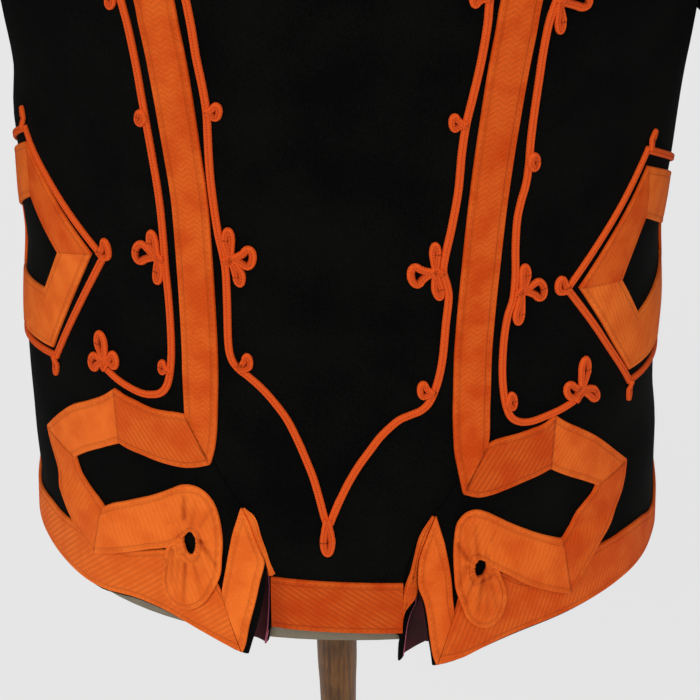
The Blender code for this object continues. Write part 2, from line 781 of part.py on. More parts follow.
def build_cuff_tape(label, side, finish):
    """Tape round the end of a sleeve."""
    top, under = sleeve_angles()
    angles = np.concatenate([top, under])
    last = len(SLEEVE_RINGS) - 1.0
    places = (last - 1.0 + CUFF_TAPE_FROM, last - 0.02)
    clear = TRIM_CLEARANCE
    outer = np.array([sleeve_ring(p, angles, clear + TAPE_THICK, side) for p in places])
    inner = np.array([sleeve_ring(p, angles, clear, side) for p in places])
    points, faces = wall_mesh(outer, inner, closed=True)
    add_object(f"cuff_tape_{label}", points, faces, finish)


def strip(name, near, far, low, finish, columns=2, flare=False, side=1.0, closed=False):
    """A tape between two edges in pattern coordinates; low is its underside's height."""
    near = np.asarray(near, float)
    far = np.asarray(far, float)
    share = even(columns)[None, :, None]
    flat = near[:, None, :] * (1.0 - share) + far[:, None, :] * share
    under = low(flat[..., 0], flat[..., 1])
    u = side * flat[..., 0]
    outer = TORSO.at(u, flat[..., 1], under + TAPE_THICK, flare=flare)
    inner = TORSO.at(u, flat[..., 1], under, flare=flare)
    if closed:
        outer = np.swapaxes(outer, 0, 1)
        inner = np.swapaxes(inner, 0, 1)
    points, faces = wall_mesh(outer, inner, closed)
    return add_object(name, points, faces, finish)


def lying_flat(u, h):
    """Underside of a tape that lies straight on the cloth."""
    return np.full(np.shape(u), TRIM_CLEARANCE)


def over_hem_tape(u, h):
    """Underside of the knot, which climbs onto the hem tape."""
    span = KNOT_LIFT_GONE_H - KNOT_LIFT_FULL_H
    climb = np.clip((KNOT_LIFT_GONE_H - h) / span, 0.0, 1.0)
    return TRIM_CLEARANCE + (TAPE_OVER_TAPE - TRIM_CLEARANCE) * climb


def finer(rows, longest):
    """Adds rows between table rows that lie further apart than the longest step."""
    rows = np.asarray(rows, float)
    made = [rows[0]]
    for a, b in zip(rows[:-1], rows[1:]):
        apart = max(np.hypot(*(b[:2] - a[:2])), np.hypot(*(b[2:4] - a[2:4])))
        count = max(int(math.ceil(apart / longest)), 1)
        made += [a + (b - a) * k / count for k in range(1, count + 1)]
    return np.array(made)


def build_back_tape(label, side, finish):
    """The long tape over the back seam, folded at its foot into the knot and its rosette."""
    half = BACK_TAPE_WIDTH / 2.0
    top = BACK_SEAM_TOP_H - 1.5
    heights = np.concatenate([[top, 436.0, 430.0], np.arange(422.0, 140.0, -17.0)])
    centre = np.stack([back_seam(heights), heights], -1)
    way = np.gradient(centre, axis=0)
    way /= np.linalg.norm(way, axis=1)[:, None]
    aside = np.stack([-way[:, 1], way[:, 0]], -1)
    run = np.concatenate([centre - aside * half, centre + aside * half], 1)
    limit = armhole_u(BACK_SEAM_TOP_H, 1.0) - 1.0
    run[:, 0] = np.minimum(run[:, 0], limit)
    run[:, 2] = np.minimum(run[:, 2], limit)
    knot = np.array(KNOT_STATIONS)
    if side < 0.0:
        knot[:, 1] -= knot[:, 4]
        knot[:, 3] -= knot[:, 4]
    knot = finer(knot[:, :4], 19.0)
    stations = np.concatenate([run, knot])
    name = f"back_tape_{label}"
    strip(name, stations[:, :2], stations[:, 2:], over_hem_tape, finish, flare=True, side=side)


def build_hem_tapes(finish):
    """Hem tape: the tail's piece, and one piece from each vent round to the centre front."""
    tail = np.linspace(-1.0, 1.0, 8)
    half = BACK_SEAM[0][1] - TAPE_FROM_SEAM
    low = np.stack([half * tail, np.full(8, TAIL_BOTTOM_H + TAPE_FROM_HEM)], -1)
    high = low + np.array([0.0, HEM_TAPE_WIDTH])
    strip("hem_tape_centre", low, high, lying_flat, finish)
    corner = VENT_TAPE_STATIONS[0]
    for label, side in (("left", 1.0), ("right", -1.0)):
        ends = TORSO.half_round(np.array([0.0, HEM_TAPE_WIDTH])) - 1.0
        ways = np.concatenate([np.arange(58.0, 130.0, 11.0), np.linspace(140.0, ends[0], 17)])
        low_edge = np.stack([ways, hem_low(ways) + 0.3], -1)
        high_edge = np.stack([ways, np.full(len(ways), HEM_TAPE_WIDTH)], -1)
        high_edge[-1, 0] = ends[1]
        gap = 2.0 * SEAM_GAP
        low_edge = np.concatenate([[(corner[0] + gap, corner[1] + 0.3)], low_edge])
        high_edge = np.concatenate([[(corner[2] + gap, HEM_TAPE_WIDTH)], high_edge])
        low_edge = np.maximum(low_edge, [[0.0, corner[1]]])
        strip(
            f"hem_tape_{label}", low_edge, high_edge, lying_flat, finish, flare=True, side=side
        )


def build_vent(label, side, tape, lining):
    """The pointed tape on the vent's edge and the lining gore that shows behind it."""
    stations = np.array(VENT_TAPE_STATIONS)
    strip(
        f"vent_tape_{label}",
        stations[:, :2],
        stations[:, 2:],
        lying_flat,
        tape,
        flare=True,
        side=side,
    )
    heights = np.array(VENT_LINING_HEIGHTS)
    vent = np.array(VENT_EDGE)
    edge = smooth_table(heights, vent[:, 0], vent[:, 1])
    under = CLOTH + VENT_LINING_UNDER
    tail = BACK_SEAM[0][1]
    rows = []
    for depth in (under, under + FACING_CLOTH):
        hidden = TORSO.at(side * (edge + VENT_LINING_HIDDEN), heights, -depth, flare=True)
        folded = TORSO.at(side * (edge + VENT_LINING_FOLD), heights, -depth, flare=True)
        beside = TORSO.at(side * (tail + VENT_LINING_FOLD), heights, -depth)
        tucked = TORSO.at(side * (tail - VENT_LINING_TUCKED), heights, -depth)
        rows.append(np.stack([hidden, folded, beside, tucked], 1))
    points, faces = wall_mesh(rows[0], rows[1])
    add_object(f"vent_lining_{label}", points, faces, lining)


def build_lozenge(label, side, tape, cord):
    """Mitred diamond of tape on the flank, with its outline of cord."""
    corners = np.array([(0.0, 1.0), (1.0, 0.0), (0.0, -1.0), (-1.0, 0.0), (0.0, 1.0)])
    ring = []
    for a, b in zip(corners[:-1], corners[1:]):
        ring += [a + (b - a) * k / 5.0 for k in range(5)]
    ring = np.array(ring)
    mid_u, mid_h, wide, high, inner_wide, inner_high, tilt = LOZENGES[label]
    cosine, sine = math.cos(math.radians(tilt)), math.sin(math.radians(tilt))
    turn = np.array([(cosine, -sine), (sine, cosine)])
    centre = np.array([mid_u, mid_h])
    near = centre + ring * np.array([wide, high]) @ turn
    far = centre + ring * np.array([inner_wide, inner_high]) @ turn
    name = f"lozenge_tape_{label}"
    strip(name, near, far, lying_flat, tape, side=side, closed=True)
    out = LOZENGE_CORD_OUT
    outline = centre + ring * np.array([wide + out, high + out]) @ turn
    loops = []
    for corner in corners[:-1]:
        size = LOZENGE_EYE if corner[0] else LOZENGE_LONG_LOOP
        reach = np.array([wide, high]) + LOZENGE_LOOPS_OUT
        place = centre + (corner * reach) @ turn
        loops.append((*place, *size))
    add_cord(f"lozenge_cord_{label}", outline, loops, cord, side, closed=True)


def smooth_path(points, step=1.0):
    """A smooth curve through the points, read at about every step."""
    points = np.asarray(points, float)
    padded = np.concatenate([[2 * points[0] - points[1]], points, [2 * points[-1] - points[-2]]])
    made = []
    for k in range(1, len(padded) - 2):
        a, b, c, d = padded[k - 1 : k + 3]
        count = max(int(np.hypot(*(c - b)) / step), 1)
        for f in np.arange(count) / count:
            turn = 2 * b + (c - a) * f + (2 * a - 5 * b + 4 * c - d) * f * f
            made.append(0.5 * (turn + (3 * b - 3 * c + d - a) * f**3))
    made.append(points[-1])
    return np.array(made)


def thinned(path, tolerance):
    """The path with the points left out that lie nearly on the line between others."""
    if len(path) < 3:
        return path
    line = path[-1] - path[0]
    off = path - path[0]
    away = np.abs(line[0] * off[:, 1] - line[1] * off[:, 0]) / max(np.hypot(*line), 1e-6)
    k = int(away.argmax())
    if away[k] < tolerance:
        return path[[0, -1]]
    return np.concatenate([thinned(path[: k + 1], tolerance)[:-1], thinned(path[k:], tolerance)])


def cut_long(path, longest):
    """The path with points added so that no step is longer than the given length."""
    made = [path[0]]
    for a, b in zip(path[:-1], path[1:]):
        count = max(int(math.ceil(np.hypot(*(b - a)) / longest)), 1)
        made += [a + (b - a) * k / count for k in range(1, count + 1)]
    return np.array(made)


def cord_body(path, closed, thinner=0.0):
    """Flat points (u, h, t) and faces of a cord along a path."""
    if closed:
        way = np.roll(path, -1, 0) - np.roll(path, 1, 0)
    else:
        way = np.gradient(path, axis=0)
    way /= np.linalg.norm(way, axis=1)[:, None]
    aside = np.stack([-way[:, 1], way[:, 0]], -1)
    low = np.full(len(path), TRIM_CLEARANCE + thinner)
    high = np.full(len(path), TRIM_CLEARANCE + CORD_THICK - thinner)
    rows = []
    for half, t in (
        (thinner - CORD_WIDTH / 2.0, low),
        (thinner - CORD_TOP_WIDTH / 2.0, high),
        (CORD_TOP_WIDTH / 2.0 - thinner, high),
        (CORD_WIDTH / 2.0 - thinner, low),
    ):
        rows.append(np.column_stack([path + aside * half, t]))
    rings = np.stack(rows, 1)
    count, corners = rings.shape[:2]
    faces = []
    for i in range(count if closed else count - 1):
        for j in range(corners):
            a, b = i * corners, (i + 1) % count * corners
            k = (j + 1) % corners
            faces.append((a + j, a + k, b + k, b + j))
    if not closed:
        faces.append(tuple(range(corners - 1, -1, -1)))
        faces.append(tuple((count - 1) * corners + j for j in range(corners)))
    return rings.reshape(-1, 3), faces


def loop_faces():
    """Heights of the two faces of an eye or leaf, a little proud of the cord's own."""
    return TRIM_CLEARANCE - LOOP_SINKS, TRIM_CLEARANCE + CORD_THICK + LOOP_STANDS


def disc_body(u, h, half_width, half_height):
    """Flat points and faces of an eye or a leaf of a trefoil."""
    sides = LOOP_SIDES
    angles = (np.arange(sides) + LOOP_TURN) * 2.0 * math.pi / sides
    ring = np.stack([u + half_width * np.cos(angles), h + half_height * np.sin(angles)], -1)
    rings = [np.column_stack([ring, np.full(sides, t)]) for t in loop_faces()]
    faces = [tuple(range(sides - 1, -1, -1)), tuple(range(sides, 2 * sides))]
    faces += [(j, (j + 1) % sides, sides + (j + 1) % sides, sides + j) for j in range(sides)]
    return np.concatenate(rings), faces


def loop_bodies(loops, paths):
    """The eyes and leaves, each with a short stem to the nearest cord where it stands apart."""
    bodies = []
    for u, h, half_width, half_height in loops:
        bodies.append(disc_body(u, h, half_width, half_height))
        ways = np.concatenate(paths)
        away = np.hypot(ways[:, 0] - u, ways[:, 1] - h)
        nearest = ways[int(away.argmin())]
        if away.min() > min(half_width, half_height):
            bodies.append(cord_body(np.array([nearest, (u, h)]), False, STEM_THINNER))
    return bodies


def flat_object(points, faces):
    """A helper object in flat pattern space."""
    volume = sum(
        float(np.dot(points[f[0]], np.cross(points[f[k]], points[f[k + 1]])))
        for f in faces
        for k in range(1, len(f) - 1)
    )
    if volume < 0.0:
        faces = [tuple(reversed(face)) for face in faces]
    mesh = bpy.data.meshes.new("flat")
    mesh.from_pydata([tuple(p) for p in points], [], faces)
    obj = bpy.data.objects.new("flat", mesh)
    obj.hide_render = True
    obj.display_type = "WIRE"
    bpy.context.scene.collection.objects.link(obj)
    return obj


def joined_flat(bodies):
    """Joins flat bodies with Boolean unions and returns the points and faces."""
    objects = [flat_object(points, faces) for points, faces in bodies]
    for other in objects[1:]:
        union = objects[0].modifiers.new("union", "BOOLEAN")
        union.operation = "UNION"
        union.object = other
    graph = bpy.context.evaluated_depsgraph_get()
    graph.update()
    mesh = objects[0].evaluated_get(graph).to_mesh()
    points = np.array([tuple(v.co) for v in mesh.vertices])
    faces = [tuple(p.vertices) for p in mesh.polygons]
    objects[0].evaluated_get(graph).to_mesh_clear()
    for obj in objects:
        bpy.data.objects.remove(obj, do_unlink=True)
    return points, faces


def add_cord(name, path, loops, finish, side, closed=False):
    """A soutache cord with its eyes, joined flat and then laid on the body."""
    bodies = [cord_body(path, closed)]
    bodies += loop_bodies(loops, [path])
    points, faces = joined_flat(bodies)
    placed = TORSO.at(side * points[:, 0], points[:, 1], points[:, 2])
    add_object(name, placed, faces, finish)


def lowered(table, side, drop_column):
    """The table's rows on one side, lower by their drop on the wearer's right."""
    rows = np.array(table)
    if side < 0.0:
        rows[:, 1] -= rows[:, drop_column]
    return np.delete(rows, drop_column, 1)


def build_outer_cord(label, side, finish):
    """The cord outside each back tape, ending in a trefoil above the knot."""
    path = smooth_path(lowered(OUTER_CORD, side, 2))
    path = cut_long(thinned(path, 0.5), 24.0)
    add_cord(f"outer_cord_{label}", path, lowered(OUTER_LOOPS, side, 4), finish, side)


def build_inner_cord(finish):
    """The cord inside both back tapes, which meets at the centre in a teardrop."""
    left = lowered(INNER_CORD, 1.0, 2)
    right = lowered(INNER_CORD, -1.0, 2)[::-1] * np.array([-1.0, 1.0])
    low = TEARDROP_H + TEARDROP_HALF[1] - 1.0
    paths = []
    for rows in (left, right[::-1]):
        paths.append(np.concatenate([rows, [(TEARDROP_U, low)]]))
    paths = [cut_long(thinned(smooth_path(path), 0.5), 24.0) for path in paths]
    bodies = [cord_body(path, False) for path in paths]
    loops = [tuple(row) for row in lowered(INNER_LOOPS, 1.0, 4)]
    loops += [(-u, h, a, b) for u, h, a, b in lowered(INNER_LOOPS, -1.0, 4)]
    bodies += loop_bodies(loops, paths)
    bodies.append(teardrop_body())
    points, faces = joined_flat(bodies)
    placed = TORSO.at(points[:, 0], points[:, 1], points[:, 2])
    add_object("inner_cord", placed, faces, finish)


def teardrop_body():
    """The open loop in which the inner cord ends."""
    sides = TEARDROP_SIDES
    angles = np.arange(sides) * 2.0 * math.pi / sides
    grids = []
    for half_width, half_height in (TEARDROP_HALF, TEARDROP_HOLE):
        ring = np.stack(
            [
                TEARDROP_U + half_width * np.cos(angles),
                TEARDROP_H + half_height * np.sin(angles),
            ],
            -1,
        )
        rows = [np.column_stack([ring, np.full(sides, t)]) for t in loop_faces()]
        grids.append(np.array(rows))
    return wall_mesh(grids[0], grids[1], closed=True)


def build_front_tape(label, side, finish):
    """Tape down one front edge, above the hem tape."""
    heights = [HEM_TAPE_WIDTH + 0.6, 65, 106, 150, 200, 250, 300, 335, 362, 385, 407, 430]
    heights = np.array(heights + [450, 468, 487, 500, 513, NECK_H - 0.6], float)
    edge = TORSO.half_round(heights)
    near = np.stack([edge - FRONT_TAPE_WIDTH - TAPE_FROM_EDGE, heights], -1)
    far = np.stack([edge - TAPE_FROM_EDGE, heights], -1)
    strip(f"front_tape_{label}", near, far, lying_flat, finish, columns=1, side=side)


def build_frog(label, number, height, side, finish):
    """A plain cord loop across one front, lying over its edge tape."""
    half = FROG_HALF_HEIGHT
    turn = np.radians(np.linspace(-90.0, 90.0, 5))
    outer_end = [(FROG_OUTER_V + half * math.cos(a), half * math.sin(a)) for a in turn]
    inner_end = [(FROG_INNER_V - half * math.cos(a) * 0.4, half * math.sin(-a)) for a in turn]
    runs = FROG_STEPS_V
    path = [(v, -half) for v in runs] + outer_end + [(v, half) for v in runs[::-1]] + inner_end
    path = np.array(path)
    points, faces = cord_body(path, True)
    v = points[:, 0]
    near, gone = FROG_STEPS_V[:2]
    lift = TAPE_THICK + 0.4
    t = points[:, 2] + lift * np.clip((gone - v) / (gone - near), 0.0, 1.0)
    h = height + points[:, 1]
    placed = TORSO.at(side * (TORSO.half_round(h) - v), h, t)
    add_object(f"frog_{number}_{label}", placed, faces, finish)


def build_button(number, height, finish):
    """A domed cord button over the ends of two frogs."""
    angles = np.arange(BUTTON_SIDES) * 2.0 * math.pi / BUTTON_SIDES
    middle = float(TORSO.half_round(height))
    base = TORSO.at(middle, height, BUTTON_BASE_T)
    out = TORSO.at(middle, height, BUTTON_BASE_T + 1.0) - base
    across = np.array([1.0, 0.0, 0.0])
    up = np.cross(across, out)
    rings = []
    for share, rise in BUTTON_PROFILE:
        spoke = np.cos(angles)[:, None] * across + np.sin(angles)[:, None] * up
        rings.append(base + BUTTON_RADIUS * share * spoke + BUTTON_HEIGHT * rise * out)
    add_object(f"button_{number}", *stacked_rings(rings), finish)


def build_form(cover, wood):
    """Smooth limbless form with a flat bottom and a short neck, and the neck's cap."""
    heights = [FORM_BOTTOM_H, 30, 80, 160, 250, 300, 340, 385, 410, 430, 450, 460, 468, 476]
    heights += [487, 500, 514, 527, FORM_NECK_TOP_H]

    def ring(h, inset):
        u = TORSO.half_round(h) * np.linspace(-1.0, 1.0, FORM_SIDES + 1)[:-1]
        return TORSO.at(u, h, -inset, hang=False)

    rings = []
    for h in heights:
        share = float(smooth_step((h - FORM_SHOULDER_FROM_H) / FORM_SHOULDER_SPAN))
        rings.append(ring(h, FORM_INSET + (FORM_SHOULDER_INSET - FORM_INSET) * share))
    add_object("dress_form", *stacked_rings(rings), cover)
    low = FORM_NECK_TOP_H + SEAM_GAP
    cap = [ring(low + share * NECK_CAP_RISE, inset) for inset, share in NECK_CAP_PROFILE]
    add_object("neck_cap", *stacked_rings(cap), wood)


def build_stand(wood):
    """Turned base and pole."""
    add_object("stand_base", *stacked_rings(turned(BASE_PROFILE, BASE_SIDES, 0.0)), wood)
    foot = BASE_PROFILE[-1][1] + SEAM_GAP
    top = HEM_Z + FORM_BOTTOM_H - SEAM_GAP
    stretch = (top - foot) / POLE_PROFILE[-1][1]
    profile = [(radius, height * stretch) for radius, height in POLE_PROFILE]
    add_object("stand_pole", *stacked_rings(turned(profile, POLE_SIDES, foot)), wood)


def main():
    for obj in list(bpy.data.objects):
        bpy.data.objects.remove(obj, do_unlink=True)
    build_stand(WOOD)
    build_form(FORM_COVER, WOOD)
    build_back(WOOL)
    build_collar(WOOL)
    build_collar_tape(BRAID)
    build_hem_tapes(BRAID)
    build_inner_cord(SOUTACHE)
    for label, side in (("left", 1.0), ("right", -1.0)):
        build_side_back(f"side_back_{label}", side, WOOL)
        build_front(f"front_{label}", side, WOOL)
        build_sleeve(label, side, WOOL)
        build_cuff_tape(label, side, BRAID)
        build_back_tape(label, side, BRAID)
        build_vent(label, side, BRAID, LINING)
        build_lozenge(label, side, BRAID, SOUTACHE)
        build_outer_cord(label, side, SOUTACHE)
        build_front_tape(label, side, BRAID)
        for number, height in enumerate(FROG_HEIGHTS, 1):
            build_frog(label, number, height, side, SOUTACHE)
    for number, height in enumerate(FROG_HEIGHTS, 1):
        build_button(number, height, SOUTACHE)


main()
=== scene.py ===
import logging
import math
from dataclasses import dataclass, field
from enum import Enum
from functools import partial
from typing import Callable, Iterable, Sequence, TypeVar

import bpy
import mathutils
import numpy as np
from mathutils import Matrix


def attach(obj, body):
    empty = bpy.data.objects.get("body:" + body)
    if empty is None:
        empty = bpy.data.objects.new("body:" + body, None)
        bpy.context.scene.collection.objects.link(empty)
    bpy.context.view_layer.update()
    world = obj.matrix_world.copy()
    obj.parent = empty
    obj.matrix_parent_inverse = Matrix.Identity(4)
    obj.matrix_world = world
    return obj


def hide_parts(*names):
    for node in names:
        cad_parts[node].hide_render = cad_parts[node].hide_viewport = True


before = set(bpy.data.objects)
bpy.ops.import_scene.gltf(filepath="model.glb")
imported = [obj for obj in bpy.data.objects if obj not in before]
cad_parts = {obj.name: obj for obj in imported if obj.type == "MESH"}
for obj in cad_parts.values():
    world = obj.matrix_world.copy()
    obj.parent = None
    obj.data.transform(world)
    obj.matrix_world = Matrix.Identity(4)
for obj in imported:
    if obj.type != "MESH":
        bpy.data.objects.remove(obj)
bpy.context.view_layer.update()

# A black hussar jacket with orange braid, seen from behind on a dress form.
# Everything is laid out in pattern coordinates in millimetres: u runs round the body from the
# centre back, positive towards the wearer's left, h is the height above the hem, and t is the
# distance out from the cloth's outer face. The jacket's back looks along +Y.

LOG = logging.getLogger("hussar_jacket")
Array = np.ndarray
Number = Array | float
Face = tuple[int, ...]
Shape = tuple[Array, list[Face]]
Marked = tuple[Array, list[Face], dict[str, Array]]
Rows = Sequence[Sequence[float]]
Choice = TypeVar("Choice")

MM = 0.001
# heights of the hem above the floor and of the neck, collar and armhole above the hem
HEM_Z = 430.0
NECK_H = 527.0
COLLAR_TOP_H = 568.0
UNDERARM_H = 285.0
# thicknesses and widths of cloth, tape and cord, and how far the tape lies off the cloth
CLOTH = 2.2
SEAM_GAP = 0.3
TAPE_LOW = 0.35
TAPE_THICK = 1.5
TAPE_ON_TAPE = 2.3
TAPE_HALF = 9.5
CORD_WIDTH = 3.7
CORD_THICK = 1.9
# what the finishes read from the points of a tape and of a cord; two of them say how much painted
# light and painted shade the colour carries
TAPE_MARKS = ("phase", "rim", "run", "tone", "crease", "ribbed")
CORD_MARKS = ("across", "run", "crease")

# the jacket hangs lower towards the wearer's right, and the neck is lower in front
HANG_SLOPE = 0.048
HANG_FULL_BELOW_H = 200.0
HANG_GONE_ABOVE_H = 400.0
NECK_DROP = 20.0
NECK_DROP_FROM_H = 400.0

# the side panels flare out near the vents
FLARE_OUT = 8.0
FLARE_RISE = 0.5
FLARE_FROM_U = 102.0
FLARE_WIDTH = 58.0
FLARE_FROM_H = 70.0
TAIL_BOTTOM_H = 7.0

ARMHOLE_MID_H = 380.0
ARMHOLE_HALF_HEIGHT = 95.0
ARMHOLE_HALF_DEPTH = 57.0
ARMHOLE_GAP = 0.6

FLANK_FROM_X = 112.0
FLANK_FADE = 45.0

TORSO_RINGS = (
    # height, half width, back depth, front depth, roundness
    (-30, 167, 145, 134, 2.2), (0, 166, 144.5, 133, 2.2), (80, 162.3, 141, 131, 2.2),
    (160, 161.2, 140.3, 131, 2.2), (250, 163, 142, 135, 2.2), (300, 167.5, 146.5, 140, 2.2),
    (340, 173, 149, 142, 2.2), (385, 183, 141, 137, 2.2), (425, 192, 120, 117, 2.25),
    (450, 194, 102, 100, 2.25), (468, 186, 87, 88, 2.25), (483, 158, 76, 79, 2.2),
    (500, 114, 66, 72, 2.15), (514, 84, 59, 68, 2.1), (527, 68, 54, 65, 2.1),
    (545, 64, 52, 62, 2.05), (580, 62, 51, 60, 2.05),
)
FLANKS = (
    # height, how far the left flank and the right flank stand out from the shape above
    (20, -2.8, 0), (43, -0.7, 0.4), (58, 0, 0.8), (82, 1.2, -1), (107, 1.8, -1.4),
    (131, 0.8, -1.3), (154, -0.5, -2.5), (178, 0, -3.6), (199, 0.2, -1.9), (222, 0.2, 0),
    (239, -1.4, 0.1), (250, -2.5, 0.2), (262, -2.3, 0.4), (283, -1.6, 0.9), (345, -1.8, 0.9),
    (385, 0, 0),
)

BACK_SEAM = (
    # height, distance from the centre back
    (-30, 32.5), (36, 32.5), (45, 34), (55, 37), (66, 41), (76, 47), (88, 55.5), (100, 61),
    (118, 64.5), (160, 64.5), (200, 65), (240, 67.5), (280, 71), (310, 75), (340, 80.5), (362, 87),
    (385, 99), (407, 117), (424, 142), (434, 168),
)
BACK_SEAM_TOP_H = 440.0
HEM_LOW = (
    # distance round, height of the hem tape's lower edge on the left and on the right
    (44, -9, -11), (50, -7.6, -10.4), (56, -4.8, -9.2), (62, -2.8, -7.2), (70, -0.2, -4),
    (80, 2.6, -1), (91, 4.2, 1), (103, 4.4, 2.2), (112, 2.8, 2.8), (120, 0.9, 3.2),
    (128, -1.2, 3.6), (136, -2, 3.9), (146, -3, 4.1), (160, -3.7, 4.3), (172, -4.2, 3.9),
    (190, -4.7, 3.5), (205, -5.4, 4), (226, -6.6, 2), (250, -4, 2), (330, 1.2, 1.2),
    (520, 0.8, 0.8),
)

SLEEVE_RINGS = (
    # outwards, forwards, height, half width, half depth
    (230, 2, 288, 58, 66), (239, 2, 245, 55, 61), (248, 1, 200, 52, 57), (257, -3, 155, 50, 54),
    (265, -13, 110, 48, 51), (272, -27, 65, 45, 48), (278, -43, 20, 42, 45),
    (283, -60, -25, 40, 43), (286, -71, -52, 39, 42),
)
SLEEVE_BACK_SEAM = 110.0
SLEEVE_FRONT_SEAM = -75.0


class Side(Enum):
    """Which side of the wearer a piece is on; the value is the sign of u."""

    LEFT = 1.0
    RIGHT = -1.0

    def of(self, part: str) -> str:
        """The name of a part's piece on this side."""
        return f"{part}_{self.name.lower()}"

    def pick(self, left: Choice, right: Choice) -> Choice:
        """The first on the left side, the second on the right."""
        return left if self is Side.LEFT else right


class Ribs(Enum):
    """How the ribs of a woven tape show between its borders; the value is their strength."""

    CHEVRON = 0.7
    STRAIGHT = 1.0
    FAINT = 0.5
    PLAIN = 0.1


def full_turn(count: int) -> Array:
    """Angles in even steps once round."""
    return np.linspace(0.0, 2 * math.pi, count + 1)[:-1]


def smooth_step(x: Number) -> Array:
    """Goes from 0 to 1 with level ends as x goes from 0 to 1."""
    x = np.clip(x, 0.0, 1.0)
    return x * x * (3.0 - 2.0 * x)


def smooth_table(x: Number, xs: Array, ys: Array) -> Array:
    """Reads a table with a smooth curve through its rows that doesn't overshoot them.

    Args:
        x: Where the table is read.
        xs: The rows' places, rising.
        ys: The rows' values.

    Returns:
        The values at x, held level beyond the table's ends.
    """
    steps = np.diff(xs)
    slopes = np.diff(ys) / steps
    tangents = np.concatenate([slopes[:1], (slopes[1:] + slopes[:-1]) / 2, slopes[-1:]])
    flat = slopes[1:] * slopes[:-1] <= 0.0
    tangents[1:-1][flat] = 0.0
    limit = 3.0 * np.minimum(np.abs(slopes[1:]), np.abs(slopes[:-1]))
    tangents[1:-1] = np.clip(tangents[1:-1], -limit, limit)
    x = np.clip(x, xs[0], xs[-1])
    k = np.clip(np.searchsorted(xs, x, side="right") - 1, 0, len(steps) - 1)
    f = (x - xs[k]) / steps[k]
    start = (1 + 2 * f) * (1 - f) ** 2 * ys[k] + f * (1 - f) ** 2 * steps[k] * tangents[k]
    end = f * f * (3 - 2 * f) * ys[k + 1] + f * f * (f - 1) * steps[k] * tangents[k + 1]
    return start + end


def read_column(rows: Rows, x: Number, number: int = 1) -> Array:
    """Reads a column of a table at x, with the places of its rows in the first column."""
    table = np.array(rows, float)
    return smooth_table(x, table[:, 0], table[:, number])


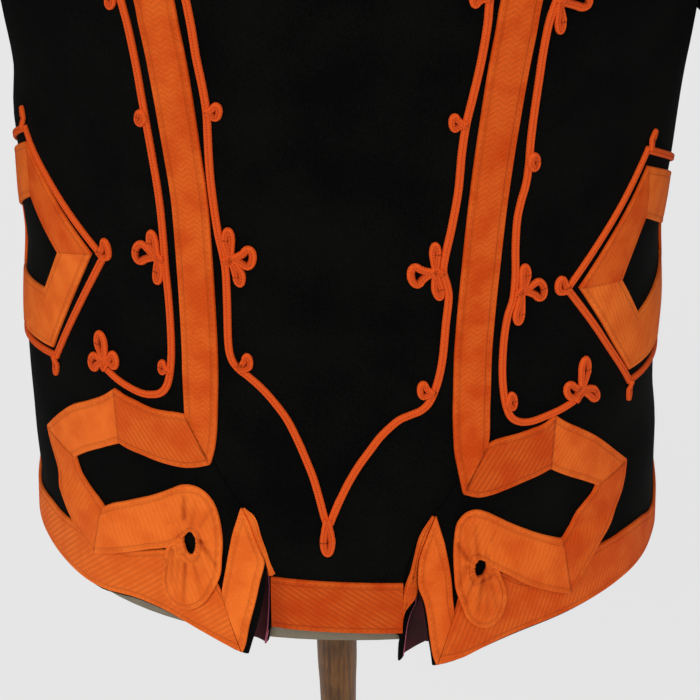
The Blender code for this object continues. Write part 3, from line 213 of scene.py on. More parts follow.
@dataclass
class Body:
    """The jacket's outer face on a general figure, read in pattern coordinates."""

    row_step: float = 5.0
    angle_count: int = 361
    share_count: int = 401
    slope_step: float = 1.5
    wave_mm: float = 0.45
    waist_wave_mm: float = 0.35
    waist_h: float = 175.0
    waist_reach: float = 60.0
    low: float = field(init=False)
    heights: Array = field(init=False)
    angles: Array = field(init=False)
    arcs: Array = field(init=False)
    shares: Array = field(init=False)

    def __post_init__(self) -> None:
        """Measures each ring once, so that distances round it can be looked up."""
        self.low = TORSO_RINGS[0][0]
        rows = int((TORSO_RINGS[-1][0] - self.low) / self.row_step) + 1
        self.heights = self.low + self.row_step * np.arange(rows)
        self.angles = np.linspace(0.0, math.pi, self.angle_count)
        arcs, shares = [], []
        for height in self.heights:
            x, y = self.ring_point(self.angles, height)
            arc = np.concatenate([[0.0], np.cumsum(np.hypot(np.diff(x), np.diff(y)))])
            arcs.append(arc)
            even = np.linspace(0.0, arc[-1], self.share_count)
            shares.append(np.interp(even, arc, self.angles))
        self.arcs = np.array(arcs)
        self.shares = np.array(shares)

    def ring_point(self, angle: Array, h: Number) -> tuple[Array, Array]:
        """The ring's outline.

        Args:
            angle: Angles from the centre back.
            h: Height of the ring.

        Returns:
            The points' x and y in millimetres.
        """
        columns = (read_column(TORSO_RINGS, h, k) for k in range(1, 5))
        half_width, back, front, roundness = columns
        power = 2.0 / roundness
        across, along = np.sin(angle), np.cos(angle)
        depth = np.where(along > 0.0, back, front)
        x = half_width * np.sign(across) * np.abs(across) ** power
        return x, depth * np.sign(along) * np.abs(along) ** power

    def half_round(self, h: Number) -> Array:
        """Distance round one side, from the centre back to the centre front."""
        return np.interp(h, self.heights, self.arcs[:, -1])

    def angle_of(self, u: Array, h: Array) -> Array:
        """Angle on the ring at a distance round it.

        Args:
            u: Distance round from the centre back.
            h: Height of the ring.

        Returns:
            The angle from the centre back, with the sign of u.
        """
        share = np.clip(np.abs(u) / self.half_round(h), 0.0, 1.0) * (self.share_count - 1)
        column = np.clip(share.astype(int), 0, self.share_count - 2)
        place = np.clip((h - self.low) / self.row_step, 0.0, len(self.heights) - 1.001)
        row = place.astype(int)
        a, b = share - column, place - row
        below = self.shares[row, column] * (1 - a) + self.shares[row, column + 1] * a
        above = self.shares[row + 1, column] * (1 - a) + self.shares[row + 1, column + 1] * a
        return np.sign(u) * (below * (1 - b) + above * b)

    def distance_at(self, angle: float, h: float) -> float:
        """Distance round the ring at one angle from the centre back."""
        by_row = [np.interp(angle, self.angles, arc) for arc in self.arcs]
        return float(np.interp(h, self.heights, by_row))

    def side_u(self, h: float) -> float:
        """The side seam's distance round the ring."""
        return self.distance_at(math.pi / 2, h)

    def loop_u(self, y: float, h: float) -> float:
        """Distance round the body of the point that lies y behind the side line."""
        back, front, roundness = (float(read_column(TORSO_RINGS, h, k)) for k in (2, 3, 4))
        cosine = min(abs(y) / (back if y > 0.0 else front), 1.0) ** (roundness / 2)
        angle = math.acos(cosine) if y > 0.0 else math.pi - math.acos(cosine)
        return self.distance_at(angle, h)

    def armhole_u(self, h: float, towards_back: float) -> float:
        """Distance of the armhole's back edge (1) or front edge (-1) round the body."""
        share = 1.0 - ((h - ARMHOLE_MID_H) / ARMHOLE_HALF_HEIGHT) ** 2
        return self.loop_u(towards_back * ARMHOLE_HALF_DEPTH * math.sqrt(max(share, 0.0)), h)

    def skin(self, u: Array, h: Array, hang: bool) -> Array:
        """Points of the outer face.

        Args:
            u: Distance round from the centre back.
            h: Height above the hem.
            hang: True for the jacket, which hangs lower on one side, False for the form.

        Returns:
            The points in millimetres.
        """
        half = self.half_round(h)
        angle = self.angle_of((u + half) % (2.0 * half) - half, h)
        x, y = self.ring_point(angle, h)
        drop = NECK_DROP * smooth_step((h - NECK_DROP_FROM_H) / (NECK_H - NECK_DROP_FROM_H))
        z = HEM_Z + h - drop * (1 - np.cos(angle)) / 2
        if hang:
            span = HANG_GONE_ABOVE_H - HANG_FULL_BELOW_H
            z = z + HANG_SLOPE * smooth_step((HANG_GONE_ABOVE_H - h) / span) * x
            on_left = smooth_step((x - FLANK_FROM_X) / FLANK_FADE)
            on_right = smooth_step((-x - FLANK_FROM_X) / FLANK_FADE)
            x = x + read_column(FLANKS, h) * on_left - read_column(FLANKS, h, 2) * on_right
        return np.stack([x, y, z], axis=-1)

    def at(
        self,
        u: Number,
        h: Number,
        t: Number,
        hang: bool = True,
        flare: Number = 0.0,
    ) -> Array:
        """Points at a distance outside the outer face.

        Args:
            u: Distance round from the centre back.
            h: Height above the hem.
            t: Distance out from the cloth's face.
            hang: True for the jacket, False for the form.
            flare: 1 for what hangs on the side panels, which flare at the vents, else 0.

        Returns:
            The points in millimetres.
        """
        u, h, t = np.broadcast_arrays(*(np.asarray(v, float) for v in (u, h, t)))
        near = smooth_step((FLARE_FROM_U - np.abs(u)) / FLARE_WIDTH)
        out = flare * FLARE_OUT * near * smooth_step((FLARE_FROM_H - h) / FLARE_FROM_H)
        h, t = h + FLARE_RISE * out, t + out
        if hang:
            t = t + self.softness(u, h)
        step = self.slope_step
        round_way = self.skin(u + step, h, hang) - self.skin(u - step, h, hang)
        up_way = self.skin(u, h + step, hang) - self.skin(u, h - step, hang)
        normal = np.cross(up_way, round_way)
        normal /= np.linalg.norm(normal, axis=-1, keepdims=True)
        return self.skin(u, h, hang) + normal * t[..., None]

    def softness(self, u: Array, h: Array) -> Array:
        """The slow waves of cloth over padding, with finer ones at the sides of the waist."""
        slow = np.sin(u / 23.0 + h / 61.0) * np.sin(h / 33.0 - u / 47.0 + 0.8)
        waist = np.exp(-(((h - self.waist_h) / self.waist_reach) ** 2))
        waist = waist * np.sin(h / 9.0 + u / 31.0)
        side = smooth_step((np.abs(u) - 90.0) / 60.0)
        return self.wave_mm * slow + self.waist_wave_mm * waist * side


BODY = Body()


def hem_low(u: Number, side: Side) -> Array:
    """Height of the hem tape's lower edge, which dips at the vent corners."""
    return read_column(HEM_LOW, np.abs(u), side.pick(1, 2))


def leaning(degrees: float) -> Array:
    """What turns rows of u and h, so that their upper end leans away from the centre back."""
    cosine, sine = math.cos(math.radians(degrees)), math.sin(math.radians(degrees))
    return np.array([(cosine, -sine), (sine, cosine)])


def back_seam(h: Number) -> Array:
    """Distance of the side-back seam from the centre back."""
    top = (BACK_SEAM_TOP_H, BODY.armhole_u(BACK_SEAM_TOP_H, 1.0))
    return read_column(BACK_SEAM + (top,), h)


def add_object(name: str, data: bpy.types.ID) -> bpy.types.Object:
    """Adds an object with its data to the scene."""
    obj = bpy.data.objects.new(name, data)
    bpy.context.scene.collection.objects.link(obj)
    return obj


def linear(code: str) -> tuple[float, float, float, float]:
    """Linear colour of an sRGB hex code."""
    parts = [int(code[k : k + 2], 16) / 255.0 for k in (1, 3, 5)]
    red, green, blue = (c / 12.92 if c <= 0.04045 else ((c + 0.055) / 1.055) ** 2.4 for c in parts)
    return red, green, blue, 1.0


def add_node(
    tree: bpy.types.NodeTree,
    kind: str,
    settings: dict[str, object] | None = None,
    values: dict[str | int, object] | None = None,
    links: dict[str | int, bpy.types.Node | bpy.types.NodeSocket] | None = None,
) -> bpy.types.Node:
    """Adds one node with its settings, socket values and links.

    Args:
        tree: The material's node tree.
        kind: The node's type name, without the words that all of them start with.
        settings: Properties of the node.
        values: Default values of input sockets, by name or number.
        links: What feeds an input socket, an output or a node whose first output is meant.

    Returns:
        The new node.
    """
    node = tree.nodes.new(f"ShaderNode{kind}")
    for name, value in (settings or {}).items():
        setattr(node, name, value)
    for place, value in (values or {}).items():
        node.inputs[place].default_value = value
    for place, source in (links or {}).items():
        if isinstance(source, bpy.types.Node):
            source = next(socket for socket in source.outputs if socket.enabled)
        tree.links.new(source, node.inputs[place])
    return node


# What the nodes are set to: kinds of sum, a smooth range, a mix of colours and a sine wave,
# which repeats once for each unit at the scale below.
TIMES = {"operation": "MULTIPLY"}
LESS = {"operation": "SUBTRACT"}
TIMES_PLUS = {"operation": "MULTIPLY_ADD"}
SIZE_OF = {"operation": "ABSOLUTE"}
SMOOTH = {"interpolation_type": "SMOOTHSTEP"}
COLOURS = {"data_type": "RGBA"}
SINE = {"bands_direction": "X", "wave_profile": "SIN"}
ONE_TURN = math.pi / 10.0


@dataclass(frozen=True)
class Finish:
    """What every finish has: a name, a slot and the shader's plain values."""

    name: str
    slot: str
    roughness: float
    sheen: float = 0.0
    sheen_code: str = "#FFFFFF"
    ior: float = 1.5
    specular: float = 0.5
    sheen_roughness: float = 0.45

    def start(self) -> tuple[bpy.types.Material, Callable[..., bpy.types.Node]]:
        """Makes the material with its plain shader values.

        Returns:
            The material and what adds a node to it.
        """
        material = bpy.data.materials.new(self.name)
        material.use_nodes = True
        sockets = material.node_tree.nodes["Principled BSDF"].inputs
        sockets["Roughness"].default_value = self.roughness
        sockets["IOR"].default_value = self.ior
        sockets["Specular IOR Level"].default_value = self.specular
        sockets["Sheen Weight"].default_value = self.sheen
        sockets["Sheen Roughness"].default_value = self.sheen_roughness
        sockets["Sheen Tint"].default_value = linear(self.sheen_code)
        return material, partial(add_node, material.node_tree)

    @staticmethod
    def join(
        material: bpy.types.Material, colour: bpy.types.Node, bump: bpy.types.Node
    ) -> bpy.types.Material:
        """Joins a mixed colour and a bump to the material's shader.

        Args:
            material: The material.
            colour: The mix of colours.
            bump: The bump.

        Returns:
            The same material.
        """
        tree = material.node_tree
        sockets = tree.nodes["Principled BSDF"].inputs
        tree.links.new(colour.outputs[2], sockets["Base Color"])
        tree.links.new(bump.outputs[0], sockets["Normal"])
        return material

    def make(self) -> bpy.types.Material:
        """Builds the material; each finish has its own."""
        raise NotImplementedError


@dataclass(frozen=True)
class FulledWool(Finish):
    """Black broadcloth, woven and fulled: a matt, short, even nap that greys at the sides."""

    deep_code: str = "#040404"
    worn_code: str = "#0B0B0A"
    nap_mm: float = 0.9
    cloud_mm: float = 45.0
    twill_mm: float = 1.5

    def make(self) -> bpy.types.Material:
        """Mottled black with a felted nap; the twill is drawn coarser than real to show."""
        material, add = self.start()
        place = {"Vector": add("TexCoord").outputs["Object"]}
        cloud, nap = (
            add("TexNoise", {}, {"Scale": 1.0 / (size * MM), "Detail": 3.0}, place)
            for size in (self.cloud_mm, self.nap_mm)
        )
        mottle = add("Math", TIMES_PLUS, {1: 0.8}, {0: nap, 2: cloud})
        share = add("MapRange", SMOOTH, {1: 0.65, 2: 1.15}, {0: mottle})
        ends = {6: linear(self.deep_code), 7: linear(self.worn_code)}
        colour = add("Mix", COLOURS, ends, {0: share})
        slant = {"bands_direction": "DIAGONAL", "wave_profile": "SIN"}
        twill = add("TexWave", slant, {"Scale": 2.0 * ONE_TURN / (self.twill_mm * MM)}, place)
        height = add("Math", TIMES_PLUS, {1: 0.22}, {0: twill, 2: nap})
        bump = add("Bump", {}, {"Distance": 0.2 * MM}, {"Height": height})
        return self.join(material, colour, bump)


@dataclass(frozen=True)
class WorstedBraid(Finish):
    """Flat worsted braid, woven with raised ribs and smooth borders: soft silky highlights."""

    dark_code: str = "#8A2804"
    mid_code: str = "#C6430B"
    light_code: str = "#EE7226"
    border_mm: float = 2.9
    groove_mm: float = 0.8
    stitch_mm: float = 3.1
    stitch_in_mm: float = 1.7
    fuzz_mm: float = 0.7
    patch_mm: float = 13.0

    def make(self) -> bpy.types.Material:
        """Ribs, a groove inside each border and a row of stitches, read from the mesh, with
        painted shade in the rib troughs, the grooves, the folds and the creases, and each band's
        painted light.
        """
        material, add = self.start()
        place = {"Vector": add("TexCoord").outputs["Object"]}
        read = {name: add("Attribute", {"attribute_name": name}).outputs for name in TAPE_MARKS}
        mark = {name: outputs["Fac"] for name, outputs in read.items()}
        fuzz, cloud = (
            add("TexNoise", {}, {"Scale": 1.0 / (size * MM), "Detail": 3.0}, place)
            for size in (self.fuzz_mm, self.patch_mm)
        )
        patch = add("MapRange", SMOOTH, {1: 0.32, 2: 0.68}, {0: cloud})
        wave = add("TexWave", SINE, {"Scale": ONE_TURN}, {"Vector": read["phase"]["Vector"]})
        inside = {1: self.border_mm - 0.1, 2: self.border_mm + 0.7}
        centre = add("MapRange", SMOOTH, inside, {0: mark["rim"]})
        ribbed = add("Math", TIMES, {}, {0: centre, 1: mark["ribbed"]})
        rib = add("Math", TIMES, {}, {0: wave, 1: ribbed})
        lines = []
        for middle, full, gone in (
            (self.border_mm, 0.1, self.groove_mm), (self.stitch_in_mm, 0.15, 0.5)
        ):
            off = add("Math", LESS, {1: middle}, {0: mark["rim"]})
            off = add("Math", SIZE_OF, {}, {0: off})
            ramp = {1: full, 2: gone, 3: 1.0, 4: 0.0}
            lines.append(add("MapRange", SMOOTH, ramp, {0: off}))
        groove, row = lines
        along = {"Vector": read["run"]["Vector"]}
        beat = add("TexWave", SINE, {"Scale": ONE_TURN / self.stitch_mm}, along)
        tick = add("MapRange", SMOOTH, {1: 0.35, 2: 0.6}, {0: beat})
        stitch = add("Math", TIMES, {}, {0: row, 1: tick})
        height = fuzz
        for share, part in ((0.6, rib), (-0.8, groove), (-0.5, stitch)):
            height = add("Math", TIMES_PLUS, {1: share}, {0: part, 2: height})
        bump = add("Bump", {}, {"Distance": 0.42 * MM}, {"Height": height})
        # each band's painted light lifts its colour towards the light end, with random patches of
        # the braid's own
        lift = add("Math", TIMES_PLUS, {1: 0.4}, {0: patch, 2: mark["tone"]})
        ends = {6: linear(self.mid_code), 7: linear(self.light_code)}
        base = add("Mix", COLOURS, ends, {0: lift})
        # painted shade darkens the rib troughs, in uneven patches, and the grooves, on top of the
        # painted shade that the mesh carries; the stitches and fuzz are the braid's own
        low = add("Math", LESS, {}, {0: ribbed, 1: rib})
        patchy_shade = add("Math", TIMES_PLUS, {1: 0.5, 2: 0.35}, {0: patch})
        low = add("Math", TIMES, {}, {0: low, 1: patchy_shade})
        dark = mark["crease"]
        for share, part in ((0.34, low), (0.2, groove), (0.14, stitch), (0.16, fuzz)):
            dark = add("Math", TIMES_PLUS, {1: share}, {0: part, 2: dark})
        share = add("MapRange", SMOOTH, {1: -0.08, 2: 1.1}, {0: dark})
        ends = {7: linear(self.dark_code)}
        colour = add("Mix", COLOURS, ends, {0: share, 6: base})
        return self.join(material, colour, bump)


@dataclass(frozen=True)
class SoutacheBraid(Finish):
    """Narrow braid of two corded ridges plaited together: a dark line between two lights."""

    dark_code: str = "#8A2204"
    light_code: str = "#E0541A"
    plait_mm: float = 1.5
    fuzz_mm: float = 0.6

    def make(self) -> bpy.types.Material:
        """A plaited bump on both ridges and a groove between them, with painted shade in the
        groove, the plaits' hollows and the loops' inner sides.
        """
        material, add = self.start()
        place = {"Vector": add("TexCoord").outputs["Object"]}
        read = {name: add("Attribute", {"attribute_name": name}).outputs for name in CORD_MARKS}
        fuzz = add("TexNoise", {}, {"Scale": 1.0 / (self.fuzz_mm * MM), "Detail": 3.0}, place)
        out = add("Math", SIZE_OF, {}, {0: read["across"]["Fac"]})
        slant = add("Math", LESS, {}, {0: read["run"]["Fac"], 1: out})
        plait = add("TexWave", SINE, {"Scale": ONE_TURN / self.plait_mm}, {"Vector": slant})
        groove = add("MapRange", SMOOTH, {1: 0.08, 2: 0.7, 3: 1.0, 4: 0.0}, {0: out})
        height, dark = fuzz, read["crease"]["Fac"]
        for share, part in ((0.9, plait), (-0.4, groove)):
            height = add("Math", TIMES_PLUS, {1: share}, {0: part, 2: height})
        bump = add("Bump", {}, {"Distance": 0.25 * MM}, {"Height": height})
        # painted shade: the groove, the plaits' hollows and what the mesh carries darken the
        # colour; the fuzz is the braid's own
        for share, part in ((0.3, fuzz), (0.2, groove), (-0.16, plait)):
            dark = add("Math", TIMES_PLUS, {1: share}, {0: part, 2: dark})
        share = add("MapRange", SMOOTH, {1: -0.05, 2: 1.0}, {0: dark})
        ends = {6: linear(self.light_code), 7: linear(self.dark_code)}
        colour = add("Mix", COLOURS, ends, {0: share})
        return self.join(material, colour, bump)


@dataclass(frozen=True)
class PlainWeave(Finish):
    """Plain woven cloth, such as cotton or silk lining: a fine even grid of threads."""

    light_code: str = "#857C6C"
    dark_code: str = "#6C6252"
    thread_mm: float = 0.8
    depth_mm: float = 0.12
    soil_mm: float = 30.0

    def make(self) -> bpy.types.Material:
        """Crossed threads, drawn as coarse as they need to be to show, with faint soiling."""
        material, add = self.start()
        place = {"Vector": add("TexCoord").outputs["Object"]}
        scale = {"Scale": ONE_TURN / (self.thread_mm * MM)}
        weft = add("TexWave", {"bands_direction": "Z", "wave_profile": "SIN"}, scale, place)
        warp = add("TexWave", SINE, scale, place)
        weave = add("Math", TIMES, {}, {0: weft, 1: warp})
        soil = add("TexNoise", {}, {"Scale": 1.0 / (self.soil_mm * MM), "Detail": 4.0}, place)
        share = add("Math", TIMES_PLUS, {1: -0.3}, {0: weave, 2: soil})
        share = add("MapRange", SMOOTH, {1: 0.05, 2: 0.75}, {0: share})
        ends = {6: linear(self.light_code), 7: linear(self.dark_code)}
        colour = add("Mix", COLOURS, ends, {0: share})
        bump = add("Bump", {}, {"Distance": self.depth_mm * MM}, {"Height": weave})
        return self.join(material, colour, bump)


@dataclass(frozen=True)
class StainedBeech(Finish):
    """Turned beech, stained brown and waxed: fine streaked grain under a soft gloss."""

    light_code: str = "#7A4E22"
    dark_code: str = "#40260C"
    grain_mm: float = 2.2
    grain_stretch: float = 0.08
    cloud_mm: float = 30.0

    def make(self) -> bpy.types.Material:
        """Grain that runs along the pole, with the darker flecks of beech."""
        material, add = self.start()
        place = {"Vector": add("TexCoord").outputs["Object"]}
        long_way = add("Mapping", {}, {"Scale": (1.0, 1.0, self.grain_stretch)}, place)
        fine = {"Scale": 1.0 / (self.grain_mm * MM), "Detail": 5.0, "Roughness": 0.65}
        grain = add("TexNoise", {}, fine, {"Vector": long_way})
        cloud = add("TexNoise", {}, {"Scale": 1.0 / (self.cloud_mm * MM), "Detail": 3.0}, place)
        share = add("Math", TIMES_PLUS, {1: 0.6}, {0: cloud, 2: grain})
        share = add("MapRange", SMOOTH, {1: 0.55, 2: 1.05}, {0: share})
        ends = {6: linear(self.light_code), 7: linear(self.dark_code)}
        colour = add("Mix", COLOURS, ends, {0: share})
        bump = add("Bump", {}, {"Distance": 0.08 * MM}, {"Height": grain})
        return self.join(material, colour, bump)


@dataclass(frozen=True)
class PaleFloor(Finish):
    """A plain pale studio floor, even in tone from edge to edge."""

    code: str = "#606060"
    glow_code: str = "#E4E4E4"
    glow: float = 0.895

    def make(self) -> bpy.types.Material:
        """A plain colour with most of its light of its own, which keeps shadows faint."""
        material, _ = self.start()
        sockets = material.node_tree.nodes["Principled BSDF"].inputs
        sockets["Base Color"].default_value = linear(self.code)
        sockets["Emission Color"].default_value = linear(self.glow_code)
        sockets["Emission Strength"].default_value = self.glow
        return material


WOOL = FulledWool("fulled_black_wool", "cloth", 0.95, 0.015, "#8C9088", specular=0.03)
BRAID = WorstedBraid("worsted_orange_braid", "tape", 0.75, 0.02, "#FF8040", specular=0.07)
SOUTACHE = SoutacheBraid("orange_soutache", "cord", 0.7, 0.02, "#FF8040", specular=0.08)
LINING = PlainWeave(
    "crimson_silk_lining", "lining", 0.7, 0.1, "#B03048", specular=0.2,
    light_code="#4E0710", dark_code="#1C0205",
)
PIPING = PlainWeave(
    "pink_selvedge", "lining", 0.8, specular=0.2, light_code="#C46A80", dark_code="#A04A60"
)
FORM_COVER = PlainWeave("form_cotton_cover", "form_cover", 0.95, specular=0.1)
WOOD = StainedBeech("stained_beech", "wood", 0.5, specular=0.35)
FLOOR = PaleFloor("pale_studio_floor", "", 0.95, specular=0.05)


@dataclass
class Dresser:
    """Turns points and faces into finished pieces of the scene."""

    materials: dict[str, bpy.types.Material] = field(default_factory=dict)
    made: dict[str, bpy.types.Object] = field(default_factory=dict)

    def material(self, finish: Finish) -> bpy.types.Material:
        """The finish's material, made once."""
        if finish.name not in self.materials:
            self.materials[finish.name] = finish.make()
        return self.materials[finish.name]

    def piece(
        self,
        name: str,
        shape: Shape,
        finish: Finish,
        marks: dict[str, Array] | None = None,
        sharp_deg: float = 50.0,
        in_frame: bool = True,
    ) -> None:
        """Adds one piece, rides it on the body and gives it its finish.

        Args:
            name: The piece's name.
            shape: Its points in millimetres and its faces as point numbers.
            finish: The piece's finish.
            marks: Numbers for each point, by name, which the finish reads.
            sharp_deg: Edges that turn more than this stay crisp.
            in_frame: True where it replaces the frame's node of the same name.
        """
        points, faces = shape
        mesh = bpy.data.meshes.new(name)
        mesh.from_pydata((points * MM).tolist(), [], [tuple(map(int, f)) for f in faces])
        corners = np.empty(len(mesh.loops), int)
        mesh.loops.foreach_get("vertex_index", corners)
        mesh.calc_loop_triangles()
        triangles = np.empty(3 * len(mesh.loop_triangles), int)
        mesh.loop_triangles.foreach_get("vertices", triangles)
        a, b, c = (points[triangles[k::3]] for k in range(3))
        if float(np.einsum("ij,ij->", a, np.cross(b, c))) < 0.0:
            mesh.flip_normals()
        for mark, numbers in (marks or {}).items():
            layer = mesh.attributes.new(mark, "FLOAT", "POINT")
            layer.data.foreach_set("value", np.asarray(numbers, float).ravel())
        mesh.update()
        mesh.shade_smooth()
        mesh.set_sharp_from_angle(angle=math.radians(sharp_deg))
        mesh.materials.append(self.material(finish))
        obj = add_object(f"{name}.fine", mesh)
        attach(obj, "root")
        if in_frame:
            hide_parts(name)
        self.made[name] = obj
        LOG.info("%s: %d points, %d faces", name, len(points), len(faces))


def cells(grid: Array) -> Array:
    """The corners of each cell in a grid of point numbers."""
    return np.stack([grid[:-1, :-1], grid[1:, :-1], grid[1:, 1:], grid[:-1, 1:]], -1)


def wall(outer: Array, inner: Array) -> Shape:
    """A closed wall between two grids of points.

    Args:
        outer: Rows by columns of outer points.
        inner: The inner points, in the same order.

    Returns:
        The points and faces.
    """
    points = np.concatenate([outer.reshape(-1, 3), inner.reshape(-1, 3)])
    count = len(points) // 2
    grid = np.arange(count).reshape(outer.shape[:2])
    quads = cells(grid).reshape(-1, 4)
    faces = [tuple(q) for q in np.concatenate([quads, quads[:, ::-1] + count]).tolist()]
    for run in (grid[0], grid[:, -1], grid[-1, ::-1], grid[::-1, 0]):
        faces += [(a, b, count + b, count + a) for a, b in zip(run, run[1:])]
    return points, faces


def loft(sections: Array, closed: bool = False) -> Shape:
    """A closed solid through cross-sections.

    Args:
        sections: Rows of points round each section.
        closed: True joins the last section to the first.

    Returns:
        The points and faces, with flat caps where it isn't closed.
    """
    grid = np.arange(sections[..., 0].size).reshape(sections.shape[:2])
    joined = np.pad(grid, ((0, int(closed)), (0, 1)), "wrap")
    quads = cells(joined.T).transpose(1, 0, 2).reshape(-1, 4)
    faces = [tuple(q) for q in quads.tolist()]
    if not closed:
        faces += [tuple(grid[0, ::-1]), tuple(grid[-1])]
    return sections.reshape(-1, 3), faces


def curve_through(points: Array, step: float) -> Array:
    """A smooth curve through rows of numbers, read at about every step of the first two.

    Args:
        points: Rows that the curve passes through.
        step: Distance between the rows that come back.

    Returns:
        The rows of the curve.
    """
    points = np.asarray(points, float)
    before, after = 2 * points[0] - points[1], 2 * points[-1] - points[-2]
    padded = np.concatenate([[before], points, [after]])
    made = []
    for k in range(1, len(padded) - 2):
        a, b, c, d = padded[k - 1 : k + 3]
        count = max(int(np.ceil(np.hypot(*(c - b)[:2]) / step)), 1)
        f = (np.arange(count) / count)[:, None]
        turn = 2 * b + (c - a) * f + (2 * a - 5 * b + 4 * c - d) * f * f
        made.append(0.5 * (turn + (3 * b - 3 * c + d - a) * f**3))
    made.append(points[-1:])
    return np.concatenate(made)


@dataclass(frozen=True)
class Band:
    """One stretch of a tape between two folds.

    Its stations are rows of u and h on the near edge and on the far one. How light the band is
    painted, from dark to light, is painted light for how the light falls on it; the ribs have a
    lean and a pitch. The band lies off the cloth by its lay, less its sink at its end, and its
    painted shade darkens all of it.
    """

    stations: Rows
    ribs: Ribs = Ribs.STRAIGHT
    tone: float = 0.4
    lean: float = 0.7
    pitch: float = 2.4
    lay: float = 0.0
    shade: float = 0.0
    sink: float = 0.0


@dataclass
class Tape:
    """A woven tape laid on the jacket from bands, with folds where the bands meet.

    It flares with the side panels, and climbs over the hem tape, where those fields say so.
    Creases are rows of start, end and depth; gathers run out from a rosette's hole. The folds,
    creases, gathers and the hole are darkened with painted shade.
    """

    bands: Sequence[Band]
    flare: bool = False
    climbs: bool = False
    climb_from_h: float = 53.0
    climb_over: float = 11.0
    step: float = 1.3
    across_step: float = 1.3
    zigzag_mm: float = 3.4
    zigzag_rise: float = 1.5
    edge_mm: float = 0.25
    rounding_mm: float = 0.9
    border_mm: float = 2.9
    border_dip: float = 0.14
    fold_mm: float = 1.2
    fold_shade: float = 0.28
    creases: Rows = ()
    crease_mm: float = 1.3
    crease_dip: float = 0.6
    crease_ridge: float = 0.22
    crease_shade: float = 0.6
    hole: tuple[float, float] | None = None
    hole_mm: float = 3.0
    gathers: float = 11.0
    gathers_reach: float = 7.0
    gathers_rise: float = 0.26
    gathers_shade: float = 0.1

    def flat(self) -> tuple[Array, Array, Array]:
        """Reads the bands closely.

        Returns:
            The near edges, the far edges and the band number of each row.
        """
        near, far, which = [], [], []
        for number, band in enumerate(self.bands):
            rows = np.array(band.stations)
            moved = np.diff(rows, axis=0)
            longest = np.maximum(np.hypot(*moved[:, :2].T), np.hypot(*moved[:, 2:].T))
            along = np.concatenate([[0.0], np.cumsum(np.maximum(longest, 0.5))])
            whole = np.column_stack([along, np.zeros(len(rows)), rows])
            read = curve_through(whole, self.step)
            near.append(read[:, 2:4])
            far.append(read[:, 4:6])
            which.append(np.full(len(read), number))
        return np.concatenate(near), np.concatenate(far), np.concatenate(which)

    def shares(self, width: float) -> Array:
        """Places across the tape from 0 to 1, closer together at its edges."""
        edge = np.array([0.0, 0.18, 0.5, 1.0, 1.7, self.border_mm])
        inner = width - 2.0 * edge[-1]
        count = max(int(np.ceil(inner / self.across_step / 2)) * 2, 2)
        middle = edge[-1] + inner * np.arange(1, count) / count
        return np.concatenate([edge, middle, width - edge[::-1]]) / width

    def underside(self, h: Array) -> Array:
        """Distance of the tape's underside from the cloth, in millimetres."""
        low = np.full(np.shape(h), TAPE_LOW)
        if self.climbs:
            over = smooth_step((self.climb_from_h - h) / self.climb_over)
            low = low + (TAPE_ON_TAPE - TAPE_LOW) * over
        return low

    def build(self, side: Side) -> Marked:
        """Builds the tape's mesh.

        Args:
            side: The side of the body that it lies on.

        Returns:
            The points, the faces and the marks that the finish reads.
        """
        near, far, which = self.flat()
        apart = np.hypot(*(far - near).T)
        along = np.gradient((near + far) / 2, axis=0)
        along /= np.maximum(np.linalg.norm(along, axis=1, keepdims=True), 1e-6)
        spoke = (far - near) / np.maximum(apart[:, None], 1e-6)
        square = np.abs(spoke[:, 0] * along[:, 1] - spoke[:, 1] * along[:, 0])
        width = apart * np.maximum(square, 0.25)
        share = self.shares(float(np.median(width)))
        u = near[:, :1] * (1 - share) + far[:, :1] * share
        h = near[:, 1:] * (1 - share) + far[:, 1:] * share
        near_in = share[None, :] * width[:, None]
        rim = np.minimum(near_in, (1 - share)[None, :] * width[:, None])
        centre = np.stack([u, h], -1)[:, len(share) // 2]
        steps = np.hypot(*np.diff(centre, axis=0).T)
        run = np.concatenate([[0.0], np.cumsum(steps)])[:, None] + np.zeros_like(u)
        phase, ribbed, tone, lay, crease = (np.zeros_like(u) for _ in range(5))
        for number, band in enumerate(self.bands):
            rows = which == number
            if band.ribs is Ribs.CHEVRON:
                fold = np.abs((near_in[rows] / self.zigzag_mm) % 2.0 - 1.0)
                phase[rows] = (run[rows] + self.zigzag_rise * 2.0 * fold) / band.pitch
            else:
                gauge = band.pitch * math.hypot(1.0, band.lean)
                phase[rows] = (u[rows] - band.lean * h[rows]) / gauge
            ribbed[rows] = band.ribs.value
            tone[rows], crease[rows] = band.tone, band.shade
            lay[rows] = band.lay - band.sink * np.linspace(0.0, 1.0, int(rows.sum()))[:, None]
        # painted shade along the fold where two bands meet
        for cut in np.flatnonzero(np.diff(which)):
            off = np.abs(run - run[cut + 1])
            crease += self.fold_shade * smooth_step(1 - off / self.fold_mm)
        low = self.underside(h) + lay
        edge = np.clip(rim / self.rounding_mm, 0.0, 1.0)
        dip = self.border_dip * np.exp(-(((rim - self.border_mm) / 0.5) ** 2))
        dome = np.sqrt(1 - (1 - edge) ** 2)
        top = low + self.edge_mm + (TAPE_THICK - self.edge_mm) * dome - dip
        rise, dark = self.folds(u, h)
        top, crease = top + rise, crease + dark
        ribbed = ribbed * (1 - np.clip(dark * 1.5, 0.0, 0.8))
        around = [np.concatenate([v, v[:, -1:], v[:, :1]], 1) for v in (u, h)]
        t_all = np.concatenate([top, low[:, -1:], low[:, :1]], 1)
        placed = BODY.at(side.value * around[0], around[1], t_all, flare=self.flare)
        points, faces = loft(placed)
        named = zip(TAPE_MARKS, (phase, rim, run, tone, crease, ribbed))
        marks = {name: np.concatenate([v, v[:, -1:], v[:, :1]], 1) for name, v in named}
        return points, faces, marks

